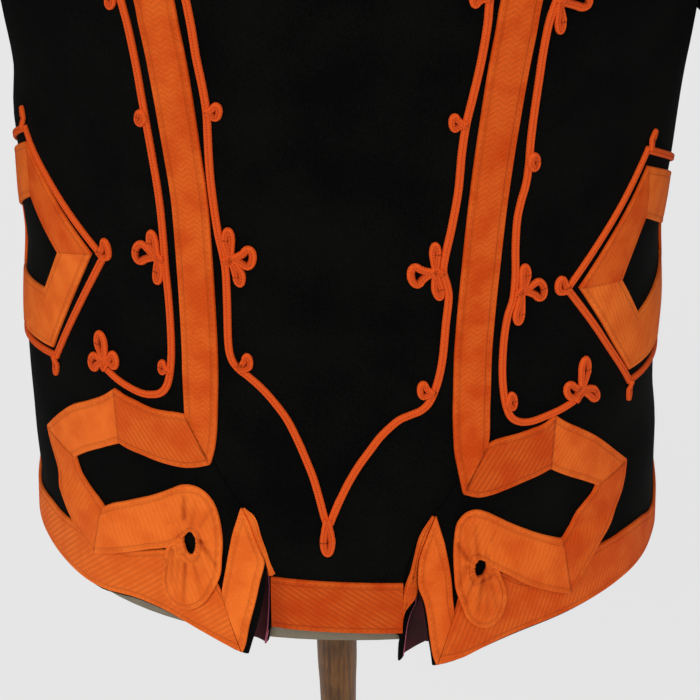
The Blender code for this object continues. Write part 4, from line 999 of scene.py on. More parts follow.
    def folds(self, u: Array, h: Array) -> tuple[Array, Array]:
        """The listed creases and the soft gathers round the hole of a rosette.

        Args:
            u: Pattern distance round the body.
            h: Height above the hem.

        Returns:
            How far each point is raised and how much painted shade darkens it.
        """
        rise, dark = np.zeros_like(u), np.zeros_like(u)
        # each crease is a dip with a ridge beside it, darkened with painted shade
        for u0, h0, u1, h1, deep in self.creases:
            way = np.array([u1 - u0, h1 - h0])
            share = ((u - u0) * way[0] + (h - h0) * way[1]) / float(way @ way)
            held = np.clip(share, 0.0, 1.0)
            off = np.hypot(u - u0 - held * way[0], h - h0 - held * way[1])
            line = np.exp(-((off / self.crease_mm) ** 2)) * (0.55 + 0.45 * (1 - held))
            ridge = np.exp(-(((off - 2.2 * self.crease_mm) / self.crease_mm) ** 2))
            rise += deep * (self.crease_ridge * ridge - self.crease_dip * line)
            dark += self.crease_shade * deep * line
        # painted shade in the troughs of the gathers and round the lip of the hole
        if self.hole is not None:
            away = np.hypot(u - self.hole[0], (h - self.hole[1]) * 0.75)
            angle = np.arctan2(h - self.hole[1], u - self.hole[0])
            near = np.exp(-np.clip(away - self.hole_mm, 0.0, None) / self.gathers_reach)
            wave = np.sin(self.gathers * angle + 1.3 * np.sin(2.0 * angle))
            hole_shade = np.exp(-np.clip(away - 2.6, 0.0, None) / 1.1)
            rise += self.gathers_rise * near * wave
            dark += near * (self.gathers_shade - self.gathers_shade * wave) + 0.5 * hole_shade
        return rise, dark


def dense(values: Sequence[float], longest: float) -> Array:
    """Adds even steps between rising values where they lie far apart."""
    made = [float(values[0])]
    for a, b in zip(values[:-1], values[1:]):
        count = max(int(math.ceil((b - a) / longest)), 1)
        made += [a + (b - a) * k / count for k in range(1, count + 1)]
    return np.array(made)


@dataclass
class Panels:
    """The jacket's cut pieces of black wool."""

    dresser: Dresser
    rows_mm: float = 7.0
    across: int = 44
    edge_roll: float = 1.2
    hem_roll: float = 1.6
    hem_reach: float = 60.0
    below_tape: float = 1.2
    wool_shows: float = 0.7
    shows_from_u: float = 58.0
    shows_over: float = 25.0

    def shell(
        self,
        name: str,
        heights: Array,
        near: Callable[[float], float],
        far: Callable[[float], float],
        side: Side,
        hemmed: bool = True,
    ) -> None:
        """One piece of cloth between two edges.

        Args:
            name: The piece's name, which is also the node's.
            heights: Heights of its rows.
            near: The edge nearer the centre back, as a function of height.
            far: The other edge.
            side: The side of the body.
            hemmed: True where the lower edge follows the hem, which flares at the vents.
        """
        ease = np.concatenate([[0.0, 0.004, 0.012], np.linspace(0.03, 0.97, self.across)])
        share = np.concatenate([ease, [0.988, 0.996, 1.0]])
        h = np.repeat(heights[:, None], len(share), 1)
        start = np.array([near(v) for v in heights])[:, None]
        end = np.array([far(v) for v in heights])[:, None]
        u = start + (end - start) * share[None, :]
        if hemmed:
            shown = smooth_step((u - self.shows_from_u) / self.shows_over)
            bottom = hem_low(u, side) - self.below_tape - self.wool_shows * shown
            h = h + bottom * np.clip(1 - h / self.hem_reach, 0.0, 1.0)
        edge = np.minimum(u - start, end - u)
        roll = -0.5 * (1 - np.clip(np.abs(edge) / self.edge_roll, 0.0, 1.0)) ** 2
        low = (heights[0] + self.hem_roll - heights) / self.hem_roll
        roll = roll - 0.5 * (np.clip(low, 0.0, 1.0) ** 2)[:, None]
        outer = BODY.at(side.value * u, h, roll, flare=hemmed)
        inner = BODY.at(side.value * u, h, -CLOTH - roll * 0.6, flare=hemmed)
        self.dresser.piece(name, wall(outer, inner), WOOL)

    def back(self) -> None:
        """The centre back with its tail."""
        shoulder = ARMHOLE_MID_H + ARMHOLE_HALF_HEIGHT

        def edge(h: float) -> float:
            """Half the back's width at a height."""
            if h <= BACK_SEAM_TOP_H:
                return float(back_seam(h)) - SEAM_GAP / 2
            if h < shoulder:
                return BODY.armhole_u(h, 1.0) - ARMHOLE_GAP
            return BODY.side_u(h) - SEAM_GAP / 2

        marks = [TAIL_BOTTOM_H, TAIL_BOTTOM_H + 0.8, TAIL_BOTTOM_H + 1.6, 36, 76, 118, 434]
        heights = dense(marks + [439.9, 450, 460, 468, 475, 487, 500, 513, NECK_H], self.rows_mm)
        self.shell("back_panel", heights, lambda h: -edge(h), edge, Side.LEFT, False)

    def side_back(self, side: Side) -> None:
        """The piece between the back seam and the side seam."""
        lines = VENT_LINES[side]
        drop = float(hem_low(VENT_TAPE[side][0][0], side)) - self.below_tape

        def near(h: float) -> float:
            """The edge along the vent and the back seam."""
            true = h + drop * max(1 - h / self.hem_reach, 0.0)
            if true < lines[-1][0]:
                return float(read_column(lines, true))
            return float(back_seam(h)) + SEAM_GAP / 2

        def far(h: float) -> float:
            """The edge along the side seam and the armhole."""
            if h <= UNDERARM_H:
                return BODY.side_u(h) - SEAM_GAP / 2
            return max(BODY.armhole_u(h, 1.0) - SEAM_GAP / 2, near(h) + 1.0)

        heights = dense([0, 0.8, 1.6, 45, 76, 118, 285, 287, 290, 297, 312, 434], self.rows_mm)
        self.shell(side.of("side_back"), heights, near, far, side)

    def front(self, side: Side) -> None:
        """One front."""
        shoulder = ARMHOLE_MID_H + ARMHOLE_HALF_HEIGHT

        def near(h: float) -> float:
            """The edge along the side seam, the armhole and the shoulder."""
            if UNDERARM_H < h < shoulder:
                return BODY.armhole_u(h, -1.0) + ARMHOLE_GAP
            return BODY.side_u(h) + SEAM_GAP / 2

        def far(h: float) -> float:
            """The front edge."""
            return float(BODY.half_round(h)) - SEAM_GAP / 2

        marks = [0, 0.8, 1.6, 285, 287, 290, 297, 312, 434, 450, 460, 468, 475, 487, 500, 513]
        heights = dense(marks + [NECK_H], self.rows_mm)
        self.shell(side.of("front"), heights, near, far, side)

    def collar(self) -> None:
        """The stand collar, open at the centre front."""
        heights = dense([NECK_H + 0.5, COLLAR_TOP_H - 1.6, COLLAR_TOP_H - 0.6, COLLAR_TOP_H], 6.0)
        h = np.repeat(heights[:, None], 97, 1)
        u = (BODY.half_round(h) - 1.0) * np.linspace(-1.0, 1.0, 97)[None, :]
        roll = -0.6 * np.clip((h - COLLAR_TOP_H + 1.6) / 1.6, 0.0, 1.0) ** 2
        cloth = wall(BODY.at(u, h, roll), BODY.at(u, h, -CLOTH - roll))
        self.dresser.piece("collar", cloth, WOOL)


@dataclass
class Sleeves:
    """Two-piece sleeves, hollow and open at both ends."""

    dresser: Dresser
    head_steps: int = 12
    ring_step: float = 0.125
    columns: int = 30
    cuff_width: float = 19.0
    cuff_round: float = 260.0
    cuff_steps: int = 120
    cuff_columns: int = 16
    cuff_from: float = 0.66
    cuff_zigzag_mm: float = 3.4
    cuff_rise: float = 3.0
    cuff_pitch: float = 2.6
    cuff_tone: float = 0.2

    def ring(self, place: float, angles: Array, grow: Number, side: Side) -> Array:
        """Points of the sleeve round one place along it.

        Args:
            place: Ring number, which may fall between two rows of the table.
            angles: Angles round the sleeve, 0 at the outside and 90 degrees at the back.
            grow: Distance out from the cloth's face.
            side: The arm.

        Returns:
            The points in millimetres.
        """
        rings = np.array(SLEEVE_RINGS, float)
        rows = np.arange(len(rings), dtype=float)
        near = 0.02
        here, there, before = (
            np.array([float(smooth_table(p, rows, numbers)) for numbers in rings.T])
            for p in (place, min(place + near, rows[-1]), max(place - near, 0.0))
        )
        way = there[:3] - before[:3]
        way /= np.linalg.norm(way)
        out = np.array([1.0, 0.0, 0.0]) - way * way[0]
        out /= np.linalg.norm(out)
        back = np.cross(way, out)
        back *= np.sign(back[1])
        puff = self.creases(place, angles)
        across = (here[3] + grow + puff) * np.cos(angles)
        along = (here[4] + grow + puff) * np.sin(angles)
        points = here[:3] + across[:, None] * out + along[:, None] * back
        return (points + np.array([0.0, 0.0, HEM_Z])) * np.array([side.value, 1.0, 1.0])

    @staticmethod
    def creases(place: float, angles: Array) -> Array:
        """Soft folds inside the elbow and at the armpit, in millimetres."""
        elbow = math.exp(-(((place - 4.2) / 1.1) ** 2))
        inner = smooth_step(0.5 - np.sin(angles) * 0.7)
        return 1.1 * elbow * inner * np.sin(place * 5.2 + 1.3 * np.cos(angles))

    def grid(self, angles: Array, grow: float, side: Side) -> Array:
        """The sleeve from the armhole to the cuff at the given angles."""
        loop = []
        for angle in angles:
            out = ARMHOLE_GAP + grow
            y = (ARMHOLE_HALF_DEPTH + out) * math.sin(angle)
            h = ARMHOLE_MID_H + (ARMHOLE_HALF_HEIGHT + out) * math.cos(angle)
            loop.append(BODY.at(side.value * BODY.loop_u(y, h), h, 1.4))
        start = np.array(loop)
        first = self.ring(0.0, angles, grow, side)
        second = self.ring(0.05, angles, grow, side)
        way = (second - first).mean(0)
        way /= np.linalg.norm(way)
        low = ((1 - np.cos(angles)) / 2)[:, None]
        leave = (1 - low) * np.array([0.95, 0.0, -0.3]) + low * np.array([0.5, 0.0, -0.85])
        leave /= np.linalg.norm(leave, axis=1)[:, None]
        leave = leave * np.array([side.value, 1.0, 1.0])
        reach = np.linalg.norm(first - start, axis=1)[:, None]
        rows = []
        for f in np.arange(self.head_steps) / self.head_steps:
            bend = (1 + 2 * f) * (1 - f) ** 2 * start + f * (1 - f) ** 2 * reach * leave
            bend = bend + f * f * (3 - 2 * f) * first + f * f * (f - 1) * reach * way
            rows.append(bend)
        places = np.arange(0.0, len(SLEEVE_RINGS) - 1 + 1e-6, self.ring_step)
        rows += [self.ring(float(p), angles, grow, side) for p in places]
        return np.array(rows)

    def angles(self) -> dict[str, Array]:
        """Angles round the top sleeve and the under sleeve."""
        gap = 0.2
        top = np.linspace(SLEEVE_FRONT_SEAM + gap, SLEEVE_BACK_SEAM - gap, self.columns)
        under = np.linspace(SLEEVE_BACK_SEAM + gap, SLEEVE_FRONT_SEAM + 360.0 - gap, self.columns)
        return {"top_sleeve": np.radians(top), "under_sleeve": np.radians(under)}

    def build(self, side: Side) -> None:
        """Both halves of one sleeve and the tape round its cuff."""
        for name, angles in self.angles().items():
            outer, inner = (self.grid(angles, grow, side) for grow in (0.0, -CLOTH))
            self.dresser.piece(side.of(name), wall(outer, inner), WOOL)
        self.cuff_tape(side)

    def cuff_tape(self, side: Side) -> None:
        """The tape round the end of a sleeve."""
        steps, columns, width = self.cuff_steps, self.cuff_columns, self.cuff_width
        angles = full_turn(steps)
        last = len(SLEEVE_RINGS) - 1.0
        places = np.linspace(last - self.cuff_from, last - 0.02, columns)
        across = np.linspace(0.0, width, columns)
        rim = np.minimum(across, width - across)
        lift = TAPE_LOW + 0.25 + (TAPE_THICK - 0.25) * np.clip(rim / 1.2, 0.0, 1.0) ** 0.5
        top = [self.ring(p, angles, g, side) for p, g in zip(places, lift)]
        low = [self.ring(p, angles, TAPE_LOW, side) for p in (places[-1], places[0])]
        ring = loft(np.swapaxes(np.array(top + low), 0, 1), closed=True)
        run = np.linspace(0.0, self.cuff_round, steps)[:, None] + np.zeros(columns + 2)
        blank = np.zeros_like(run)
        rims = blank + np.concatenate([rim, [0.0, 0.0]])
        across = np.concatenate([across, [width, 0.0]])
        fold = np.abs((across / self.cuff_zigzag_mm) % 2.0 - 1.0)
        phase = (run + self.cuff_rise * fold) / self.cuff_pitch
        values = (phase, rims, run, blank + self.cuff_tone, blank, blank + Ribs.CHEVRON.value)
        self.dresser.piece(side.of("cuff_tape"), ring, BRAID, dict(zip(TAPE_MARKS, values)))


BACK_TAPE = (
    # height, then the tape's centre line on the left and on the right
    (131, 64.4, 63.4), (157, 63.9, 63.2), (183, 64.3, 64.1), (209, 65.1, 65.7), (234, 66.1, 67.5),
    (260, 68.6, 70), (285, 71.1, 72.8), (304, 73.4, 75.1), (330, 77.6, 78.9),
)
# Each knot's bands: rows of the lower or inner edge and the upper or outer edge, as u and h.
# A knot runs on from the tape's foot: across, out to the flank, back down to the hem, and
# along it into the turn that is gathered round its hole.
FOOT = {
    Side.LEFT: (
        (55.8, 131, 73, 131), (56.4, 120, 73, 121.5), (57, 112, 72.9, 119.9),
        (58.2, 103.6, 72.8, 119.5), (60.3, 95.2, 72.6, 119.3),
    ),
    Side.RIGHT: (
        (54.2, 131, 72.4, 131), (54.8, 118, 72.6, 119.5), (55.5, 109, 72.4, 115),
        (57.5, 98.5, 72.1, 113.2), (59.8, 87.2, 71.9, 112.6),
    ),
}
ACROSS = {
    Side.LEFT: (
        (60.9, 94.1, 72.6, 119.4), (68.1, 90.8, 77.2, 119), (75.9, 88.8, 82.5, 118.1),
        (86.6, 88.3, 90.6, 117.3), (97.7, 89, 98.8, 118.4), (104.6, 89.3, 105.1, 119.1),
        (110.2, 90.3, 111.6, 120.7),
    ),
    Side.RIGHT: (
        (60.3, 85.8, 71.9, 112.5), (67.1, 83.3, 75.8, 114.1), (74.1, 83.6, 80.9, 114.8),
        (82.3, 85.4, 87.6, 115.3), (90.7, 87.4, 94.5, 116.2), (98.3, 88.8, 101.6, 117.4),
        (105.8, 90.7, 107.1, 120.9),
    ),
}
OUTWARDS = {
    Side.LEFT: (
        (110.6, 90, 112, 120.4), (117.4, 85.7, 120.6, 112.6), (125.1, 80.6, 131.7, 104.8),
        (133.6, 74.8, 146, 94.7), (142.9, 67.6, 171.6, 70.6),
    ),
    Side.RIGHT: (
        (106.1, 90.4, 107.5, 120.6), (112.1, 86.2, 114.9, 114.2), (119.2, 81.6, 125, 107),
        (127.4, 76.6, 138.6, 96.5), (136.8, 70.4, 162.8, 73.9),
    ),
}
DOWNWARDS = {
    Side.LEFT: (
        (142.8, 67, 171.6, 69.8), (141.3, 63.8, 169.4, 63.2), (139, 60, 165.2, 56),
        (134.6, 56.7, 160.6, 48.4), (129.5, 53.5, 157, 40), (125, 51, 148, 29.6),
        (122.6, 49.7, 129.6, 19.6),
    ),
    Side.RIGHT: (
        (136.6, 69.8, 162.8, 73), (134.2, 66.6, 160.6, 64.6), (129.4, 63.4, 157, 56),
        (123.8, 59, 151, 48), (119.6, 52.8, 144.6, 41.6), (116, 49.2, 138, 34.8),
        (114.5, 48.6, 121, 14.6),
    ),
}
GATHERED = {
    Side.LEFT: (
        (122.2, 49.6, 129, 19.6), (116.7, 53.6, 123, 22.4), (108.9, 58.1, 115, 26.4),
        (100.9, 62.8, 106, 31.2), (93.2, 67.2, 98.4, 35.2), (86.6, 71.5, 91.8, 38.5),
        (81.2, 75.3, 86.2, 40.9), (76.8, 78.3, 80.2, 44.2), (72.2, 79.8, 75.6, 49.2),
        (67.4, 79.6, 73.4, 52.4), (63, 77.3, 72.2, 53.4), (59.4, 72.8, 71, 53.2),
        (57, 65.6, 69.9, 52.2), (55.4, 55.6, 69, 50.2), (54.9, 45, 68.7, 47.6),
        (55.3, 34.8, 68.9, 45.2), (58.2, 25.9, 69.5, 43.4), (62.2, 18.1, 70.4, 42.3),
        (67, 12.9, 71.4, 42.2), (73.3, 9.8, 72.4, 42.9), (80.2, 10.3, 73.2, 44),
        (84.8, 14.6, 73.7, 45.1), (86.6, 22, 74, 46), (85.8, 31.5, 74.4, 46.6),
        (84.9, 38.4, 74.9, 47.2), (84, 42, 75, 48.2), (81.6, 45.6, 75.1, 49.6),
    ),
    Side.RIGHT: (
        (114, 48.8, 120.2, 14.8), (106.8, 52.2, 110.6, 19.4), (99.6, 56.2, 102.1, 23.9),
        (92, 60.9, 94.4, 28.6), (84.3, 65.9, 86.8, 34.4), (77.5, 70.7, 80.2, 39.4),
        (71.8, 74.4, 74.9, 43.1), (67.2, 76.2, 71.7, 46.4), (62.8, 75.6, 69.9, 47.8),
        (59.2, 72.6, 68.7, 48), (57.1, 68, 67.8, 47.6), (56.2, 60.1, 67, 46.7),
        (55.8, 51.1, 66.4, 45.5), (55.7, 42, 66.1, 44.1), (56.4, 33, 66.1, 42.6),
        (58.9, 24.4, 66.5, 40.9), (61.6, 16.3, 67.1, 39.6), (66, 11.3, 67.9, 39),
        (71.8, 9, 68.7, 39), (77.5, 11.1, 69.5, 39.6), (81.4, 16.6, 70.2, 40.6),
        (82.9, 24.4, 70.7, 41.6), (81.9, 31.6, 71.2, 42.5), (79.9, 37, 71.6, 43.3),
        (78.6, 41, 71.7, 44.6), (76.2, 44.4, 71.8, 46.4),
    ),
}
BAND_LOOKS = {
    # each band's ribs, painted light, lean, pitch, lay, painted shade and sink, from the upright
    # one on; the left knot is painted lighter
    Side.LEFT: (
        (Ribs.CHEVRON, 0.12, 0.7, 2.7), (Ribs.STRAIGHT, 0.2, 0.73, 2.5, 0.35, 0.04),
        (Ribs.PLAIN, 0.55, 0.8, 2.5), (Ribs.FAINT, 0.4, -0.5, 2.6, 0.2, 0.05),
        (Ribs.FAINT, 0.6, 0.45, 2.8, 0.6, 0, 0.6),
    ),
    Side.RIGHT: (
        (Ribs.CHEVRON, 0, 0.7, 2.7), (Ribs.STRAIGHT, 0, 0.6, 2.5, 0.35, 0.12),
        (Ribs.FAINT, 0.3, 0.75, 2.6), (Ribs.FAINT, 0.05, 0.35, 2.5, 0.2, 0.08),
        (Ribs.FAINT, 0.35, 0.45, 2.6, 0.6, 0, 0.6),
    ),
}
ROSETTE_HOLE = {Side.LEFT: (71.6, 47.6), Side.RIGHT: (68.6, 43.3)}
# each crease is darkened with painted shade as deep as it is
CREASES = {
    # start u and h, end u and h, depth from 0 to 1: the main folds, listed one by one
    Side.LEFT: (
        (74.9, 60.5, 74.6, 72.6, 1), (73.3, 36.5, 74.3, 15.5, 0.9), (66.4, 50.6, 57.6, 40.2, 0.9),
        (80.4, 41.6, 80.8, 24, 0.7), (66.4, 58.6, 61.4, 68.6, 0.5), (84.2, 36, 84, 20, 0.4),
        (68.6, 36, 64.6, 22, 0.5), (66.8, 42, 59.6, 30.4, 0.4), (78.2, 50.4, 84.6, 56.4, 0.4),
        (70.8, 58.2, 68.6, 72, 0.4), (76.8, 38.4, 78.6, 17, 0.4),
    ),
    Side.RIGHT: (
        (62.4, 49.6, 58, 58.2, 0.9), (62, 46.2, 57.6, 36, 0.6), (69.6, 37.4, 67.5, 20.4, 0.9),
        (67.8, 51, 66.4, 67.4, 0.6), (72.2, 51, 76.6, 62.4, 0.5), (73.4, 38, 77.6, 20.4, 0.5),
        (65, 38.6, 60.8, 25, 0.5), (71.2, 35.4, 72.6, 16, 0.4), (64, 51.8, 61.6, 66, 0.4),
    ),
}


def knotted(side: Side) -> list[Band]:
    """The long back tape and its knot as bands between folds.

    Args:
        side: The side of the back; the two knots differ a little.

    Returns:
        The bands, each with its rows of near and far edge points.
    """
    heights = np.concatenate([[438.5, 436.0, 430.0], np.arange(422.0, 140.0, -10.0)])
    measured = read_column(BACK_TAPE, heights, side.pick(1, 2))
    above = smooth_step((heights - BACK_TAPE[-1][0]) / 15.0)
    middle = measured * (1 - above) + back_seam(heights) * above
    centre = np.stack([middle, heights], -1)
    way = np.gradient(centre, axis=0)
    way /= np.linalg.norm(way, axis=1)[:, None]
    aside = np.stack([-way[:, 1], way[:, 0]], -1)
    slack = side.pick(0.6, 0.35) * smooth_step((320.0 - heights) / 90.0)
    half = (TAPE_HALF - slack)[:, None]
    limit = BODY.armhole_u(BACK_SEAM_TOP_H, 1.0) - 1.0
    upright = np.concatenate([centre - aside * half, centre + aside * half], 1)
    upright[:, [0, 2]] = np.minimum(upright[:, [0, 2]], limit)
    rows = tuple(tuple(r) for r in upright) + FOOT[side]
    stretches = (rows, ACROSS[side], OUTWARDS[side], DOWNWARDS[side], GATHERED[side])
    return [Band(stations, *look) for stations, look in zip(stretches, BAND_LOOKS[side])]


HEM_TOP = (
    # distance round, then the hem tape's upper edge on the left and on the right
    (57, 29, 29), (66, 38, 37.5), (80, 39.6, 38.5), (86, 39.2, 34.8), (90, 37.4, 33),
    (98, 34.6, 29.6), (108, 30.4, 30), (118, 29.2, 32), (128, 28.6, 33.4), (140, 27.4, 33.4),
    (150, 25.6, 32.8), (163, 22.8, 32), (180, 20.6, 29.2), (190, 18.4, 26.2), (200, 15.8, 22),
    (212, 12.4, 18.6), (226, 11, 17), (242, 13, 18.5), (285, 24, 26), (330, 29, 29),
)
VENT_TAPE = {
    # inner edge u and h, outer edge u and h, from the hem corner to the point
    Side.LEFT: (
        (44.8, -8.9, 55, 24), (43.1, -3.5, 54.7, 27.6), (41.2, 8, 54.2, 31.8),
        (38.5, 21, 53.6, 36), (36.3, 34, 52.8, 42.5), (34.5, 44, 51.9, 49), (36.4, 50, 51, 55),
        (38.7, 56, 50, 59.8), (41.6, 64.6, 48.2, 66.2), (44.2, 70.6, 46.8, 71.4),
        (45.4, 72.6, 46, 72.9),
    ),
    Side.RIGHT: (
        (47.4, -10.9, 56, 20), (45.6, -5, 55.6, 24.6), (44.1, 5, 55.3, 29.5),
        (43, 15.5, 55.1, 34.5), (41.4, 26, 54.6, 40.5), (38.9, 34, 53.8, 46.6),
        (38.6, 42, 52.6, 53.8), (39.6, 51, 51.5, 59.8), (42.2, 60, 50, 65.2), (45.2, 69, 48.4, 71),
        (46.7, 73.8, 47.5, 74.2),
    ),
}
VENT_STRIP = {
    # the turned-under end of the same tape, down the tail's edge
    Side.LEFT: (
        (45.2, 72.8, 44.4, 73.2), (42, 66.6, 39.6, 68.2), (38.6, 55.4, 36.6, 57.4),
        (36.2, 49.6, 34.4, 50.8), (34.3, 43.6, 32.8, 45), (33.4, 40.6, 31.6, 41.6),
        (32.9, 37.4, 30.4, 38.4),
    ),
    Side.RIGHT: (
        (46.5, 74.2, 45.4, 74.6), (43, 63.6, 39.9, 64), (39.9, 52.9, 37.4, 53),
        (38.9, 44.4, 35.8, 44.2), (38.9, 38.6, 34.2, 38.4), (38.8, 31.5, 32.4, 31.5),
        (37.6, 27, 31.8, 28.6), (33.6, 20.8, 31.8, 20.8), (32.4, 15, 31.8, 15),
        (32.1, 10.5, 31.8, 10.5), (32, 7.8, 31.8, 7.8),
    ),
}

LOZENGES = {
    # corners of the tape's outer edge, of its inner edge and of the cord, each in this order:
    # nearest the back, bottom, low and high on the far side round the flank, top
    Side.LEFT: (
        ((121.7, 189.3), (157.4, 122), (248, 96.6), (248, 184.2), (171.6, 227.8)),
        ((148, 179.2), (165.8, 150.9), (231, 131), (231, 162), (171.4, 198.3)),
        ((114.7, 189.8), (155, 118.6), (254, 91.4), (254, 187), (174.8, 233.4)),
    ),
    Side.RIGHT: (
        ((117.7, 186.9), (160, 126), (252, 111), (252, 191.9), (162.3, 235.7)),
        ((150, 180.6), (170.6, 152.9), (236, 155.2), (236, 169.6), (168.3, 205.8)),
        ((111.2, 187.8), (162.6, 118.6), (258, 104), (258, 195.6), (161.9, 244)),
    ),
}


@dataclass
class Braiding:
    """Every flat tape of the jacket."""

    dresser: Dresser
    tail_lean: float = 1.45
    tail_high: float = 29.2
    front_width: float = 19.0
    collar_width: float = 19.2

    def lay(self, name: str, tape: Tape, side: Side, in_frame: bool = True) -> None:
        """Builds one tape and dresses it."""
        points, faces, marks = tape.build(side)
        self.dresser.piece(name, (points, faces), BRAID, marks, 60.0, in_frame)

    def back_tape(self, side: Side) -> None:
        """The long tape over a back seam with its knot and gathered turn."""
        folds = CREASES[side]
        tape = Tape(knotted(side), True, True, creases=folds, hole=ROSETTE_HOLE[side])
        self.lay(side.of("back_tape"), tape, side)

    def tail(self) -> None:
        """The tape along the tail's lower edge, darkened with painted shade, more so at its ends
        by the vents.
        """
        half = BACK_SEAM[0][1] - 0.6
        low = TAIL_BOTTOM_H + 0.4
        high = low + self.tail_high
        rows = tuple((u, low, u, high) for u in np.linspace(-half, half, 8))
        band = Band(rows, Ribs.STRAIGHT, 0.0, self.tail_lean, 2.6, shade=0.2)
        # creases at the ends: shallow folds that carry the painted shade of the vents
        ends = ((half - 1.0, low, half - 1.0, high, 0.6), (half - 6.0, low, half - 5.0, high, 0.3))
        tape = Tape([band], creases=ends, crease_mm=3.2)
        self.lay("hem_tape_centre", tape, Side.LEFT)

    def hem(self, side: Side) -> None:
        """The tape round one side of the hem, wider where it passes under the knot."""
        ends = BODY.half_round(np.array([0.0, HEM_TOP[-1][1]])) - 1.0
        ways = np.concatenate([np.arange(60.0, 130.0, 7.0), np.linspace(135.0, ends[0], 40)])
        high, low = read_column(HEM_TOP, ways, side.pick(1, 2)), hem_low(ways, side)
        tops = ways.copy()
        tops[-1] = ends[1]
        corner = VENT_TAPE[side][0]
        rows = [(corner[0] + 0.5, corner[1] + 0.1, corner[2] + 0.4, corner[3] + 1.0)]
        rows += [(u, a, v, b) for u, a, v, b in zip(ways, low, tops, high)]
        # painted light: the left hem tape is painted lighter than the right
        tone, lean = side.pick((0.5, -1.1), (0.12, 0.35))
        tape = Tape([Band(tuple(rows), Ribs.STRAIGHT, tone, lean, 2.6)], flare=True)
        self.lay(side.of("hem_tape"), tape, side)

    def vent(self, side: Side) -> None:
        """The pointed tape on a vent's edge and its narrow end on the tail."""
        # painted light: the left vent's tapes are painted lighter than the right's, and the strip
        # darker still with painted shade
        tone = side.pick(0.6, 0.2)
        pointed = Tape([Band(VENT_TAPE[side], Ribs.PLAIN, tone)], flare=True)
        band = Band(VENT_STRIP[side], Ribs.PLAIN, tone - 0.1, shade=0.08)
        narrow = Tape([band], across_step=0.7, rounding_mm=0.6)
        self.lay(side.of("vent_tape"), pointed, side)
        self.lay(side.of("vent_strip"), narrow, side, False)

    def lozenge(self, side: Side) -> None:
        """The mitred diamond on a flank."""
        outer, inner = (np.array(LOZENGES[side][k])[[1, 0, 4, 3, 2, 1]] for k in (0, 1))
        bands = []
        for number in range(len(outer) - 1):
            rows = []
            for f in (0.0, 0.2, 0.4, 0.6, 0.8, 1.0):
                a, b = (line[number] * (1 - f) + line[number + 1] * f for line in (inner, outer))
                rows.append((*a, *b))
            ribs = Ribs.PLAIN if number == 0 and side is Side.LEFT else Ribs.FAINT
            # painted light: the bands are painted alternately light and dark, as each mitred band
            # catches the light
            tone = 0.55 if number % 2 == 0 else 0.1
            lean = 0.5 if number % 2 else -0.5
            bands.append(Band(tuple(rows), ribs, tone, lean, 2.4, 0.3 * (number % 2)))
        self.lay(side.of("lozenge_tape"), Tape(bands), side)

    def front_edge(self, side: Side) -> None:
        """The tape down one front edge, above the hem tape."""
        heights = dense([29.6, 200, 335, 434, 468, 487, 500, 513, NECK_H - 0.6], 9.0)
        edge = BODY.half_round(heights) - 0.8
        rows = tuple((e - self.front_width, h, e, h) for e, h in zip(edge, heights))
        tape = Tape([Band(rows, Ribs.CHEVRON, 0.2, pitch=2.7)])
        self.lay(side.of("front_tape"), tape, side)

    def collar_edge(self) -> None:
        """The tape round the collar's upper edge."""
        half = float(BODY.half_round(COLLAR_TOP_H)) - 1.5
        high = COLLAR_TOP_H - 0.8
        low = high - self.collar_width
        rows = tuple((u, low, u, high) for u in np.linspace(-half, half, 40))
        tape = Tape([Band(rows, Ribs.CHEVRON, 0.2, pitch=2.7)])
        self.lay("collar_tape", tape, Side.LEFT)


@dataclass(frozen=True)
class Loop:
    """One loop of soutache: an oval drawn out to where it is rooted.

    The tilt leans its top away from the centre back; a loop without a root springs from the
    nearest point of its cord.
    """

    u: float
    h: float
    wide: float
    high: float
    tilt: float = 0.0
    root: tuple[float, float] | None = None


